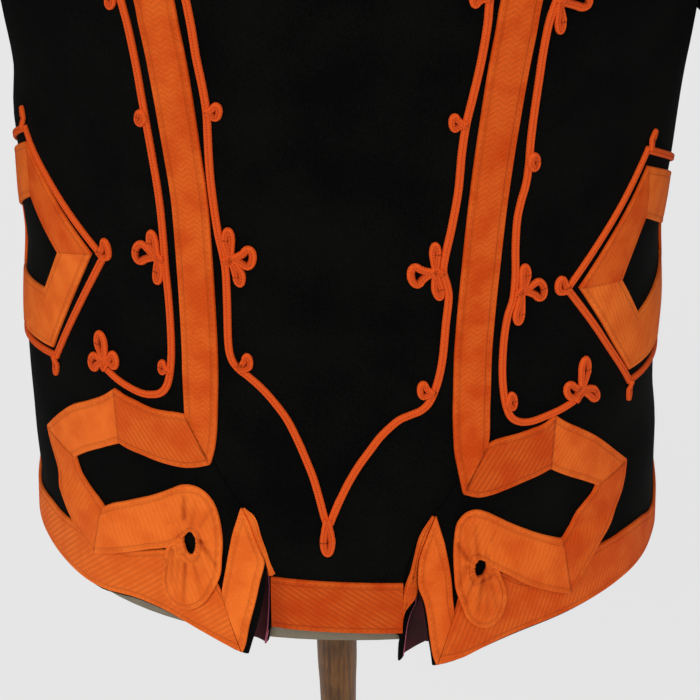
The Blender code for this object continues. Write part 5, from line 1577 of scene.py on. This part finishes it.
@dataclass
class CordWork:
    """The soutache ornament: cords swept along their paths with their loops."""

    dresser: Dresser
    step: float = 1.0
    full_half: float = CORD_WIDTH / 2

    def sweep(
        self,
        path: Array,
        side: float,
        closed: bool,
        lift: Number = 0.0,
        half: float = CORD_WIDTH / 2,
        hollow: float = 0.0,
    ) -> Marked:
        """Sweeps the two-ridged section along a flat path.

        Args:
            path: Rows of u and h.
            side: Sign of u.
            closed: True for a ring.
            lift: How far each row is raised off the cloth.
            half: Half the cord's width.
            hollow: How much painted shade darkens the section's inner side.

        Returns:
            The points, faces and marks.
        """
        if closed:
            way = np.roll(path, -1, 0) - np.roll(path, 1, 0)
        else:
            way = np.gradient(path, axis=0)
        way /= np.maximum(np.linalg.norm(way, axis=1)[:, None], 1e-6)
        aside = np.stack([-way[:, 1], way[:, 0]], -1)
        right = np.array([0.08, 0.25, 0.5, 0.75, 0.93, 1.0])
        out = np.concatenate([-right[::-1], [0.0], right])
        ridge = np.sqrt(np.clip(1 - ((np.abs(out) - 0.44) / 0.58) ** 2, 0.0, 1.0))
        high = 0.3 + 0.3 * (1 - np.abs(out)) + (CORD_THICK - 0.6) * ridge
        across = np.concatenate([out, [0.95, -0.95]]) * half
        tall = np.concatenate([high, [0.05, 0.05]])
        place = path[:, None, :] + aside[:, None, :] * across[None, :, None]
        t = TAPE_LOW - 0.25 + tall[None, :] + (np.zeros(len(path)) + lift)[:, None]
        points = BODY.at(side * place[..., 0], place[..., 1], t)
        shape, faces = loft(points, closed)
        run = np.concatenate([[0.0], np.cumsum(np.hypot(*np.diff(path, axis=0).T))])
        wide = np.zeros((len(path), 1)) + across[None, :]
        # painted shade growing across the cord towards its inner side
        dark = hollow * np.clip(wide / half, 0.0, 1.0)
        marks = dict(zip(CORD_MARKS, (wide, run[:, None] + np.zeros_like(wide), dark)))
        return shape, faces, marks

    @staticmethod
    def join(parts: Sequence[Marked]) -> Marked:
        """Puts several swept parts into one mesh."""
        points, faces, marks, start = [], [], {}, 0
        for shape, some, numbers in parts:
            points.append(shape)
            faces += [tuple(k + start for k in f) for f in some]
            for name, values in numbers.items():
                marks.setdefault(name, []).append(values.ravel())
            start += len(shape)
        joined = {name: np.concatenate(values) for name, values in marks.items()}
        return np.concatenate(points), faces, joined

    def loops(self, shapes: Sequence[Loop], paths: Sequence[Array], side: float) -> list[Marked]:
        """Sweeps the loops of a cord, each rising a little where it passes over another cord.

        Args:
            shapes: The loops.
            paths: The cords on the same side.
            side: Sign of u.

        Returns:
            The swept loops, each darkened with painted shade on its inner side; a narrow one
            closes into a filled oval with a middle darkened by painted shade.
        """
        parts = []
        angle = full_turn(40)
        ways = np.concatenate(paths)
        for number, loop in enumerate(shapes):
            half = min(self.full_half, 0.53 * min(loop.wide, loop.high))
            reach = np.array([loop.wide, loop.high]) - half
            oval = np.stack([np.cos(angle), np.sin(angle)], -1) * reach
            middle = np.array([loop.u, loop.h])
            nearest = ways[np.argmin(np.hypot(*(ways - middle).T))]
            root = np.array(loop.root or nearest)
            spoke = oval @ leaning(loop.tilt)
            facing = (spoke @ (root - middle)) / np.maximum(
                np.hypot(*spoke.T) * np.hypot(*(root - middle)), 1e-6
            )
            drawn = (np.clip((facing - 0.45) / 0.55, 0.0, 1.0) ** 1.6)[:, None]
            ring = (middle + spoke) * (1 - drawn) + root * drawn
            apart = np.sqrt(((ring[:, None, :] - ways[None, :, :]) ** 2).sum(-1)).min(1)
            lift = 1.1 * smooth_step((4.2 - apart) / 3.0) + 0.2 * (number % 3)
            parts.append(self.sweep(ring, side, True, lift, half, 0.5))
        return parts

    def build(
        self,
        name: str,
        cords: Sequence[tuple[Side, Rows, Sequence[Loop]]],
        closed: bool = False,
    ) -> None:
        """Builds one cord piece with all its loops.

        Args:
            name: The piece's name, which is also the node's.
            cords: For each cord its side, the points it passes through and its loops.
            closed: True where the cord is a ring.
        """
        parts = []
        for side, points, shapes in cords:
            path = curve_through(np.array(points, float), self.step)
            path = path[:-1] if closed else path
            parts.append(self.sweep(path, side.value, closed))
            parts += self.loops(shapes, [path], side.value)
        points, faces, marks = self.join(parts)
        self.dresser.piece(name, (points, faces), SOUTACHE, marks)


OUTER_TOP = ((184, 423), (172, 419), (150, 409), (129, 393), (112, 373))
OUTER_CORDS = {
    Side.LEFT: OUTER_TOP + (
        (102.5, 353), (96, 338), (92, 322), (90, 311), (88, 297), (86.6, 284), (85.3, 272),
        (84.2, 262), (83, 251), (81.6, 238), (80.6, 225), (80, 210), (79.6, 196), (78.7, 182),
        (78.2, 166), (78.4, 151), (79.8, 139), (82, 131.5), (85.5, 127), (90.5, 124.6),
        (96, 123.6), (103, 124.4), (110, 126.2), (117, 129.4),
    ),
    Side.RIGHT: OUTER_TOP + (
        (102, 352), (96.5, 336), (93, 325), (91, 312), (89.6, 297), (88.2, 282), (87.2, 268),
        (86.8, 256), (85.8, 247), (83.6, 238), (82.2, 229), (82, 216), (82.6, 201), (82, 189),
        (79.6, 180), (78.2, 167), (78, 152), (79, 140), (80.8, 131), (83.4, 125), (88, 121.4),
        (94.5, 120.2), (102, 121), (111, 122.4), (119, 124.6),
    ),
}
OUTER_LOOPS = {
    Side.LEFT: (
        Loop(121, 377, 3.2, 5), Loop(102.2, 341, 4, 6.4, 37, (98, 334)),
        Loop(104.2, 334.6, 3.6, 6.4, 80, (98, 334)), Loop(98.9, 328.6, 3, 5.4, -15, (98, 334)),
        Loop(87.5, 272, 3.2, 5, -19), Loop(85.5, 207.3, 3.3, 6.5, 3, (83.2, 200)),
        Loop(92.3, 199.8, 4.8, 6.7, -20, (83.2, 200)), Loop(83.1, 192.9, 3, 7.3, -11, (83.2, 200)),
        Loop(83.2, 200.2, 2.2, 3), Loop(83.5, 141.8, 2.5, 4.2, -6),
        Loop(119, 142.2, 4.2, 7.1, 0, (117, 133.8)),
        Loop(124.1, 130.2, 3.8, 5.7, -16, (117, 133.8)),
        Loop(111.8, 135.8, 3.4, 5.2, -4, (117, 133.8)), Loop(117, 132.8, 2.4, 3.6),
    ),
    Side.RIGHT: (
        Loop(121, 377, 3.2, 5), Loop(100.5, 340.5, 4, 6.5, 32, (96.5, 333)),
        Loop(107.6, 331.9, 4.8, 6.5, -54, (96.5, 333)),
        Loop(98.2, 323.6, 2.9, 6.2, -4, (96.5, 333)), Loop(89, 257.9, 3.4, 5, -13),
        Loop(87.3, 200.9, 3.2, 5.8, -6, (86.2, 192.4)),
        Loop(95.3, 191.1, 4.4, 6.5, -18, (86.2, 192.4)),
        Loop(85.2, 180.7, 3.2, 6.4, 1, (86.2, 192.4)), Loop(86, 192.2, 2.2, 3.2),
        Loop(83.4, 133.7, 3.1, 5.2, -9), Loop(124.8, 140.2, 4, 7.4, -3, (123, 129.6)),
        Loop(116.6, 131, 4.2, 6.1, -29, (123, 129.6)),
        Loop(131.4, 124.6, 3.7, 6.2, -37, (123, 129.6)), Loop(122.6, 128.6, 2.4, 3.4),
    ),
}
INNER_TOP = ((182, 456), (162, 451), (134, 440), (106, 420), (87, 395), (73, 369))
INNER_CORDS = {
    Side.LEFT: INNER_TOP + (
        (65, 343), (61.6, 325), (59.6, 308), (57.4, 294), (56, 281), (56, 268), (55.8, 250),
        (54.6, 233), (53, 219), (51, 208.5), (50, 200), (49.8, 184), (49.8, 164), (48.6, 155.4),
        (45.4, 150.4), (40.6, 146.8), (34.6, 141.4), (28.6, 134.2), (23, 125.6), (18.4, 115.2),
        (14.6, 105), (11.2, 95), (8.4, 84), (6.4, 75), (4.8, 69),
    ),
    Side.RIGHT: INNER_TOP + (
        (66, 344), (64.6, 326), (62.4, 309), (59.4, 293), (56.8, 280), (55.2, 266), (54, 247),
        (51.4, 229), (48.8, 215), (48, 207), (49.8, 200), (50.8, 193), (49.8, 179), (48.8, 162),
        (46.8, 149), (43.4, 138.6), (39.4, 133.6), (34.6, 131.2), (29.4, 128.6), (24.6, 124),
        (20, 118.4), (15.4, 111), (10.8, 103.4), (6.4, 94.8), (2.6, 86), (-0.8, 77), (-3.2, 69.6),
    ),
}
INNER_LOOPS = {
    Side.LEFT: (
        Loop(118, 436, 3.2, 5), Loop(72, 402, 3.2, 5), Loop(59.5, 341, 3, 4.8),
        Loop(51.9, 281.9, 3.1, 4.8, -10), Loop(48.3, 217.4, 3.1, 6, -1, (47.6, 207.6)),
        Loop(39.6, 209.3, 4.1, 6.3, -9, (47.6, 207.6)),
        Loop(43.9, 199.2, 3.1, 5.7, 3, (47.6, 207.6)), Loop(47.6, 207, 2.2, 3.2),
        Loop(41, 154.7, 2.8, 4.8, -1),
    ),
    Side.RIGHT: (
        Loop(118, 436, 3.2, 5), Loop(72, 402, 3.2, 5), Loop(59, 339, 3, 4.8),
        Loop(51.7, 280.8, 2.9, 4.6, -5), Loop(44.1, 216.6, 2.8, 5.6, 0, (44.4, 207.2)),
        Loop(35.8, 205.4, 4.3, 6.4, -9, (44.4, 207.2)),
        Loop(45.6, 198.1, 2.9, 6.2, -13, (44.4, 207.2)), Loop(44.6, 206.8, 2.2, 3.2),
        Loop(40, 144.6, 3, 5.1, -3),
    ),
}
TEARDROP = Loop(4.4, 59.4, 3.8, 8.6, -1.0, (4.6, 72.5))
LOZENGE_LOOPS = {
    # nearest the back, at the bottom and at the top
    Side.LEFT: (
        Loop(112.8, 194.7, 3.3, 5.8, 4), Loop(155.4, 112.8, 2.3, 6, -10),
        Loop(177.2, 238.4, 2.3, 5.6, 28),
    ),
    Side.RIGHT: (
        Loop(107.6, 190.4, 3.7, 5.3, -7), Loop(162.9, 113, 2.2, 6.2, -4),
        Loop(165.2, 248.4, 2.2, 5, 38),
    ),
}


@dataclass
class Ornament:
    """The cords of the back and flanks."""

    work: CordWork

    def outer(self, side: Side) -> None:
        """The cord outside a back tape."""
        cord = (side, OUTER_CORDS[side], OUTER_LOOPS[side])
        self.work.build(side.of("outer_cord"), [cord])

    def inner(self) -> None:
        """The cord inside both back tapes, with its teardrop."""
        left, right = ([s, INNER_CORDS[s], INNER_LOOPS[s]] for s in Side)
        left[2] += (TEARDROP,)
        self.work.build("inner_cord", [left, right])

    def lozenge(self, side: Side) -> None:
        """The cord round a lozenge, with a loop at each corner."""
        corners = np.array(LOZENGES[side][2])[[0, 1, 2, 3, 4, 0]]
        path: list[Array] = []
        for a, b in zip(corners[:-1], corners[1:]):
            path += [a + (b - a) * f for f in (0.0, 0.03, 0.25, 0.5, 0.75, 0.97)]
        cord = (side, path + path[:1], LOZENGE_LOOPS[side])
        self.work.build(side.of("lozenge_cord"), [cord], closed=True)


VENT_LINES = {
    # height, the side panel's folded edge, the lining's pink selvedge, the turned wool's edge
    Side.LEFT: (
        (-10, 42.3, 36.4, 35.2), (-4, 40.8, 35.6, 34.4), (4.6, 38.6, 34.3, 32.8),
        (9, 37.5, 33.9, 30), (13.4, 36.7, 33.6, 29), (22.1, 35.3, 33.2, 29), (31.1, 34.3, 33, 29),
        (41, 34.3, 33.4, 29),
    ),
    Side.RIGHT: (
        (-12, 45.8, 31.6, 30.3), (-6, 45.2, 32.3, 30.4), (1.8, 43.9, 33.2, 30.6),
        (7, 43.2, 33.8, 31.2), (11.4, 42.7, 34.4, 27.5), (14.1, 42.4, 34.9, 27.5),
        (17.9, 41.9, 36.1, 27.5), (23.5, 41.2, 38.5, 27.5), (28, 40.4, 38, 27.5),
        (34, 39.4, 37, 27.5), (42, 39.1, 36.6, 28.5), (51, 39.9, 37.6, 33), (60, 42.5, 40.4, 36.5),
        (69, 45.4, 43.6, 41), (76, 47.2, 46, 45),
    ),
}
VENT_FOOT = {
    # distance round, height of the lining's and the turned wool's lower edge
    Side.LEFT: ((29, -2.5), (33.5, -2.7), (35.7, -4.6), (39.9, -2.4), (48, -1)),
    Side.RIGHT: (
        (29, -12.5), (31.1, -11.1), (32.7, -7.2), (36.6, -5.3), (39.8, -3.3), (43.3, -0.8),
        (52, -0.8),
    ),
}


@dataclass
class Vents:
    """What shows inside the two vents: crimson lining, its pink selvedge and turned wool."""

    dresser: Dresser
    rows: int = 30
    under_panel: float = 6.0
    left_hollow: float = 0.72
    right_hollow: float = 2.4
    foot_flare: float = 0.85
    lining_thick: float = 0.6
    turning_thick: float = 1.1
    selvedge_share: float = 0.497
    selvedge_depth: float = 1.5
    selvedge_radius: float = 0.55

    def placed(self, side: Side, share: Array, depth: Array) -> Array:
        """Points of the gore that joins the side panel to the underside of the tail.

        Args:
            side: The vent's side.
            share: 0 under the side panel, 0.5 at the selvedge, 1 under the tail.
            depth: Distance in from the cloth's face at each share.

        Returns:
            Rows by columns of points.
        """
        lines, foot = VENT_LINES[side], np.array(VENT_FOOT[side])
        rise = np.linspace(0.0, 1.0, self.rows)[:, None]
        top = lines[-1][0]
        level = foot[:, 1].mean() * (1 - rise) + top * rise
        edge, pink, last = (read_column(lines, level, k) for k in (1, 2, 3))
        first, second = np.clip(share * 2.0, 0.0, 1.0), np.clip(share * 2.0 - 1.0, 0.0, 1.0)
        u = (edge + self.under_panel) * (1 - first) + pink * first
        u = u * (1 - second) + last * second
        h = np.interp(u, foot[:, 0], foot[:, 1]) * (1 - rise) + top * rise
        hollow = side.pick(self.left_hollow, self.right_hollow)
        t = -depth - hollow * np.sin(math.pi * first) * smooth_step((1 - rise) * 2.0)
        held = self.foot_flare + (1 - self.foot_flare) * smooth_step((level - 1.0) / 7.0)
        flare = (1 - held * smooth_step(first)) * (1 - smooth_step(second))
        return BODY.at(side.value * u, h, t, flare=flare)

    def build(self, side: Side) -> None:
        """The pieces inside one vent."""
        share = np.linspace(0.0, 1.0, 25)[None, :]
        under = np.interp(share, (0.0, 0.5, 1.0), (CLOTH + 0.5, CLOTH + 0.2, CLOTH + 1.7))
        sheet = [self.placed(side, share, under + more) for more in (0.0, self.lining_thick)]
        turning = np.linspace(0.5, 1.0, 13)[None, :]
        above = np.interp(turning, (0.5, 1.0), (0.7, CLOTH + 0.3))
        flap = [self.placed(side, turning, above + more) for more in (0.0, self.turning_thick)]
        angle = full_turn(8)
        middle = np.array([[self.selvedge_share]])
        depths = self.selvedge_depth - self.selvedge_radius * np.sin(angle)
        rings = np.stack([self.placed(side, middle, depth)[:, 0] for depth in depths], 1)
        across = BODY.at(side.value * 31.0, 0.0, 0.0) - BODY.at(side.value * 30.0, 0.0, 0.0)
        rings += self.selvedge_radius * np.cos(angle)[None, :, None] * across
        self.dresser.piece(side.of("vent_lining"), wall(*sheet), LINING)
        self.dresser.piece(side.of("vent_turning"), wall(*flap), WOOL, in_frame=False)
        self.dresser.piece(side.of("vent_selvedge"), loft(rings), PIPING, in_frame=False)


@dataclass
class Fastening:
    """The plain cord frogs and knotted buttons of the front."""

    work: CordWork
    heights: tuple[float, ...] = (95.0, 190.0, 285.0, 380.0)
    inner_v: float = 5.0
    outer_v: float = 105.0
    half_height: float = 4.6
    button_radius: float = 9.0
    button_height: float = 7.0
    button_base: float = 4.6

    def frog(self, number: int, height: float, side: Side) -> None:
        """One cord loop across a front."""
        half = self.half_height
        turn = np.radians(np.linspace(-90.0, 90.0, 9))
        outer = [(self.outer_v + half * math.cos(a), half * math.sin(a)) for a in turn]
        inner = [(self.inner_v - half * math.cos(a) * 0.4, -half * math.sin(a)) for a in turn]
        runs = np.arange(self.inner_v + 5.0, self.outer_v - 2.0, 4.0)
        path = [(v, -half) for v in runs] + outer + [(v, half) for v in runs[::-1]] + inner
        rows = curve_through(np.array(path + path[:1]), self.work.step)[:-1]
        lift = (TAPE_THICK + 0.5) * smooth_step((26.0 - rows[:, 0]) / 5.0)
        h = height + rows[:, 1]
        flat = np.stack([BODY.half_round(h) - rows[:, 0], h], -1)
        points, faces, marks = self.work.sweep(flat, side.value, True, lift)
        name = side.of(f"frog_{number}")
        self.work.dresser.piece(name, (points, faces), SOUTACHE, marks)

    def button(self, number: int, height: float) -> None:
        """A domed button worked over with cord in a turned spiral."""
        middle = float(BODY.half_round(height))
        base = BODY.at(middle, height, self.button_base)
        out = BODY.at(middle, height, self.button_base + 1.0) - base
        out /= np.linalg.norm(out)
        across = np.array([1.0, 0.0, 0.0])
        up = np.cross(across, out)
        turn = full_turn(48)
        sections, marks = [], []
        for f in np.linspace(0.0, 1.0, 26):
            rise = math.sin(f * math.pi / 2) ** 0.8
            radius = self.button_radius * max(math.cos(f * math.pi / 2), 0.04) ** 0.6
            radius *= 1.0 - 0.18 * (1 - min(f * 6.0, 1.0))
            twist = 0.28 * np.sin(8.0 * turn + 9.0 * f)
            spoke = np.cos(turn)[:, None] * across + np.sin(turn)[:, None] * up
            ring = base + (radius + twist[:, None]) * spoke
            sections.append(ring + (self.button_height * rise) * out)
            marks.append(8.0 * turn / (2 * math.pi) * 1.5 + 9.0 * f * 0.24)
        run = np.array(marks)
        values = {"across": np.full_like(run, 1.2), "run": run, "crease": np.zeros_like(run)}
        shape = loft(np.array(sections))
        self.work.dresser.piece(f"button_{number}", shape, SOUTACHE, values)


@dataclass
class DressForm:
    """The limbless form and its turned stand."""

    dresser: Dresser
    bottom_h: float = -2.0
    inset: float = 5.0
    shoulder_inset: float = 4.8
    neck_top_h: float = 556.0
    cap_rise: float = 7.0
    sides: int = 96
    pole_lean: float = 0.018
    base_profile: Rows = (
        (150, 0), (157, 0.6), (160, 3), (160, 11), (157, 14), (152, 15),
        (149, 15.2), (146, 17.4), (140, 18), (100, 20.4), (60, 24), (42, 26.8),
        (30, 30), (26, 36),
    )
    pole_profile: Rows = (
        (22, 0), (22.6, 3), (22, 6), (15, 12), (16.8, 17), (17.5, 22),
        (15, 28), (12.5, 32), (11.5, 90), (10, 200), (10, 225), (10.5, 250),
        (11.2, 268), (11.5, 300), (12.2, 322), (12.4, 352), (11, 364), (10.5, 370),
        (15, 378), (24, 384),
    )

    def ring(self, h: float, inset: float) -> Array:
        """One ring of the form."""
        u = BODY.half_round(h) * np.linspace(-1.0, 1.0, self.sides + 1)[:-1]
        return BODY.at(u, h, -inset, hang=False)

    def body(self) -> None:
        """The padded form with its flat bottom."""
        marks = [self.bottom_h, self.bottom_h + 0.6, self.bottom_h + 1.6, self.bottom_h + 3.0]
        heights = dense(marks + [30.0, 434.0], 12.0).tolist()
        heights += dense([434.0, 450.0, 468.0, 487.0, 514.0, self.neck_top_h], 5.0).tolist()[1:]
        rings = []
        for h in heights:
            share = float(smooth_step((h - 330.0) / 120.0))
            inset = self.inset + (self.shoulder_inset - self.inset) * share
            inset += 0.6 * (1 - min((h - self.bottom_h) / 3.0, 1.0)) ** 2
            rings.append(self.ring(float(h), inset))
        self.dresser.piece("dress_form", loft(np.array(rings)), FORM_COVER)

    def cap(self) -> None:
        """The turned wooden cap of the neck."""
        low = self.neck_top_h + SEAM_GAP
        profile = ((3.6, 0.0), (2.9, 0.12), (2.9, 0.4), (4.5, 0.62), (9.0, 0.84), (22.0, 1.0))
        rings = [self.ring(low + self.cap_rise * f, inset) for inset, f in profile]
        self.dresser.piece("neck_cap", loft(np.array(rings)), WOOD)

    def turned(self, name: str, rows: Array, sides: int, lean: float = 0.0) -> None:
        """One turned piece from radii and heights, which may lean a little to the left."""
        turn = full_turn(sides)
        rings = []
        for r, z in rows:
            x = r * np.cos(turn) + lean * (z - rows[0][1])
            rings.append(np.stack([x, r * np.sin(turn), np.full(sides, z)], -1))
        self.dresser.piece(name, loft(np.array(rings)), WOOD, sharp_deg=35.0)

    def stand(self) -> None:
        """The base and the pole."""
        foot = self.base_profile[-1][1] + SEAM_GAP
        top = HEM_Z + self.bottom_h - SEAM_GAP
        stretch = (top - foot) / self.pole_profile[-1][1]
        rows = np.array([(r, foot + z * stretch) for r, z in self.pole_profile])
        smooth = curve_through(np.column_stack([rows[:, 1], rows[:, 0]]), 1.5)
        pole = np.column_stack([smooth[:, 1], smooth[:, 0]])
        self.turned("stand_base", np.array(self.base_profile), 96)
        self.turned("stand_pole", pole, 48, self.pole_lean)


@dataclass(frozen=True)
class Sun:
    """A broad soft light, the way it comes from, its strength and how broad it is."""

    name: str
    way: tuple[float, float, float]
    strength: float
    broad_deg: float


@dataclass
class Studio:
    """The plain floor, the soft light and the camera at the photograph's angle."""

    dresser: Dresser
    target_mm: tuple[float, float, float] = (-5.1, 100.0, HEM_Z + 141.2)
    distance_mm: float = 1105.7
    rise_deg: float = 30.63
    turn_deg: float = -1.55
    lens_mm: float = 119.4
    surround_code: str = "#E4E4E4"
    surround_strength: float = 0.7
    suns: tuple[Sun, ...] = (
        Sun("key", (0.55, 1.0, 0.75), 1.4, 35.0),
        Sun("fill", (-0.8, 0.6, 0.6), 0.5, 50.0),
    )
    floor_half: float = 8.0

    def camera(self) -> None:
        """Places the camera behind and above the jacket."""
        rise, turn = math.radians(self.rise_deg), math.radians(self.turn_deg)
        back = np.array(
            [math.sin(turn) * math.cos(rise), math.cos(turn) * math.cos(rise), math.sin(rise)]
        )
        place = (np.array(self.target_mm) + back * self.distance_mm) * MM
        data = bpy.data.cameras.new("camera")
        data.lens = self.lens_mm
        data.sensor_width = 36.0
        data.clip_start = 0.01
        obj = add_object("camera", data)
        obj.location = place
        obj.rotation_euler = mathutils.Vector(tuple(back)).to_track_quat("Z", "Y").to_euler()
        bpy.context.scene.camera = obj

    @staticmethod
    def shine(sun: Sun) -> None:
        """Adds one light."""
        data = bpy.data.lights.new(sun.name, "SUN")
        data.energy = sun.strength
        data.angle = math.radians(sun.broad_deg)
        obj = add_object(sun.name, data)
        obj.rotation_euler = mathutils.Vector(sun.way).to_track_quat("Z", "Y").to_euler()

    def floor(self) -> None:
        """The plain floor under the stand."""
        mesh = bpy.data.meshes.new("floor")
        half = self.floor_half
        corners = [(-half, -half, 0.0), (half, -half, 0.0), (half, half, 0.0), (-half, half, 0.0)]
        mesh.from_pydata(corners, [], [(0, 1, 2, 3)])
        mesh.materials.append(self.dresser.material(FLOOR))
        add_object("floor", mesh)

    def light(self) -> None:
        """An even grey surround and two broad soft lights."""
        world = bpy.data.worlds.new("surround")
        world.use_nodes = True
        shader = world.node_tree.nodes["Background"]
        shader.inputs["Color"].default_value = linear(self.surround_code)
        shader.inputs["Strength"].default_value = self.surround_strength
        bpy.context.scene.world = world
        for sun in self.suns:
            self.shine(sun)
        bpy.context.scene.view_settings.view_transform = "Standard"

    def build(self) -> None:
        """Sets up the whole studio."""
        self.floor()
        self.light()
        self.camera()


def declare_cloth(pieces: dict[str, bpy.types.Object]) -> None:
    """Goes through the pieces that are sheets of cloth, with the sizes that they were cut to, and
    looks up what each carries; nothing is kept.

    Args:
        pieces: Every piece of the jacket by its name.
    """

    def cut(
        name: str,
        flat: tuple[float, float],
        area: float | None,
        held: str,
        rests_on: str,
        sewn_on: Iterable[str] = (),
    ) -> None:
        """Takes one piece's cut and area in metres, how it is held and what it carries, and looks
        up the pieces that it carries.
        """
        carried = [pieces[other] for other in sewn_on]

    tail = ("hem_tape_centre", "inner_cord", "vent_strip_left", "vent_strip_right")
    cut("back_panel", (0.47, 0.57), 0.150, "stretched", "dress_form", tail)
    cut("collar", (0.37, 0.042), None, "stretched", "back_panel", ["collar_tape"])
    for side in Side:
        flank = "back_tape hem_tape vent_tape outer_cord lozenge_tape lozenge_cord".split()
        fastened = ["front_tape"] + [f"frog_{n}" for n in range(1, 5)]
        inside = ["vent_selvedge", "vent_turning"]
        gore, wool = side.pick((0.018, 0.05), (0.018, 0.08)), side.of("side_back")
        for part, flat, area, held, rests_on, carried in (
            ("side_back", (0.22, 0.45), 0.060, "draped", "dress_form", flank),
            ("front", (0.27, 0.56), 0.105, "stretched", "dress_form", fastened),
            ("top_sleeve", (0.22, 0.62), 0.095, "hung", "back_panel", ["cuff_tape"]),
            ("under_sleeve", (0.18, 0.55), 0.070, "hung", "back_panel", []),
            ("vent_lining", gore, None, "folded", wool, inside),
        ):
            cut(side.of(part), flat, area, held, rests_on, map(side.of, carried))


def main() -> None:
    """Builds the studio, the form and the jacket, and reports each piece."""
    logging.basicConfig(level=logging.INFO, format="%(name)s: %(message)s")
    dresser = Dresser()
    Studio(dresser).build()
    form = DressForm(dresser)
    form.body()
    form.cap()
    form.stand()
    panels, sleeves, braiding = Panels(dresser), Sleeves(dresser), Braiding(dresser)
    work = CordWork(dresser)
    ornament, vents, fastening = Ornament(work), Vents(dresser), Fastening(work)
    panels.back()
    panels.collar()
    braiding.collar_edge()
    braiding.tail()
    ornament.inner()
    for side in Side:
        panels.side_back(side)
        panels.front(side)
        sleeves.build(side)
        braiding.back_tape(side)
        braiding.hem(side)
        braiding.lozenge(side)
        braiding.front_edge(side)
        braiding.vent(side)
        ornament.outer(side)
        ornament.lozenge(side)
        vents.build(side)
        for number, height in enumerate(fastening.heights, 1):
            fastening.frog(number, height, side)
    for number, height in enumerate(fastening.heights, 1):
        fastening.button(number, height)
    declare_cloth(dresser.made)
    LOG.info("%d pieces", len(dresser.made))


if __name__ == "__main__":
    main()
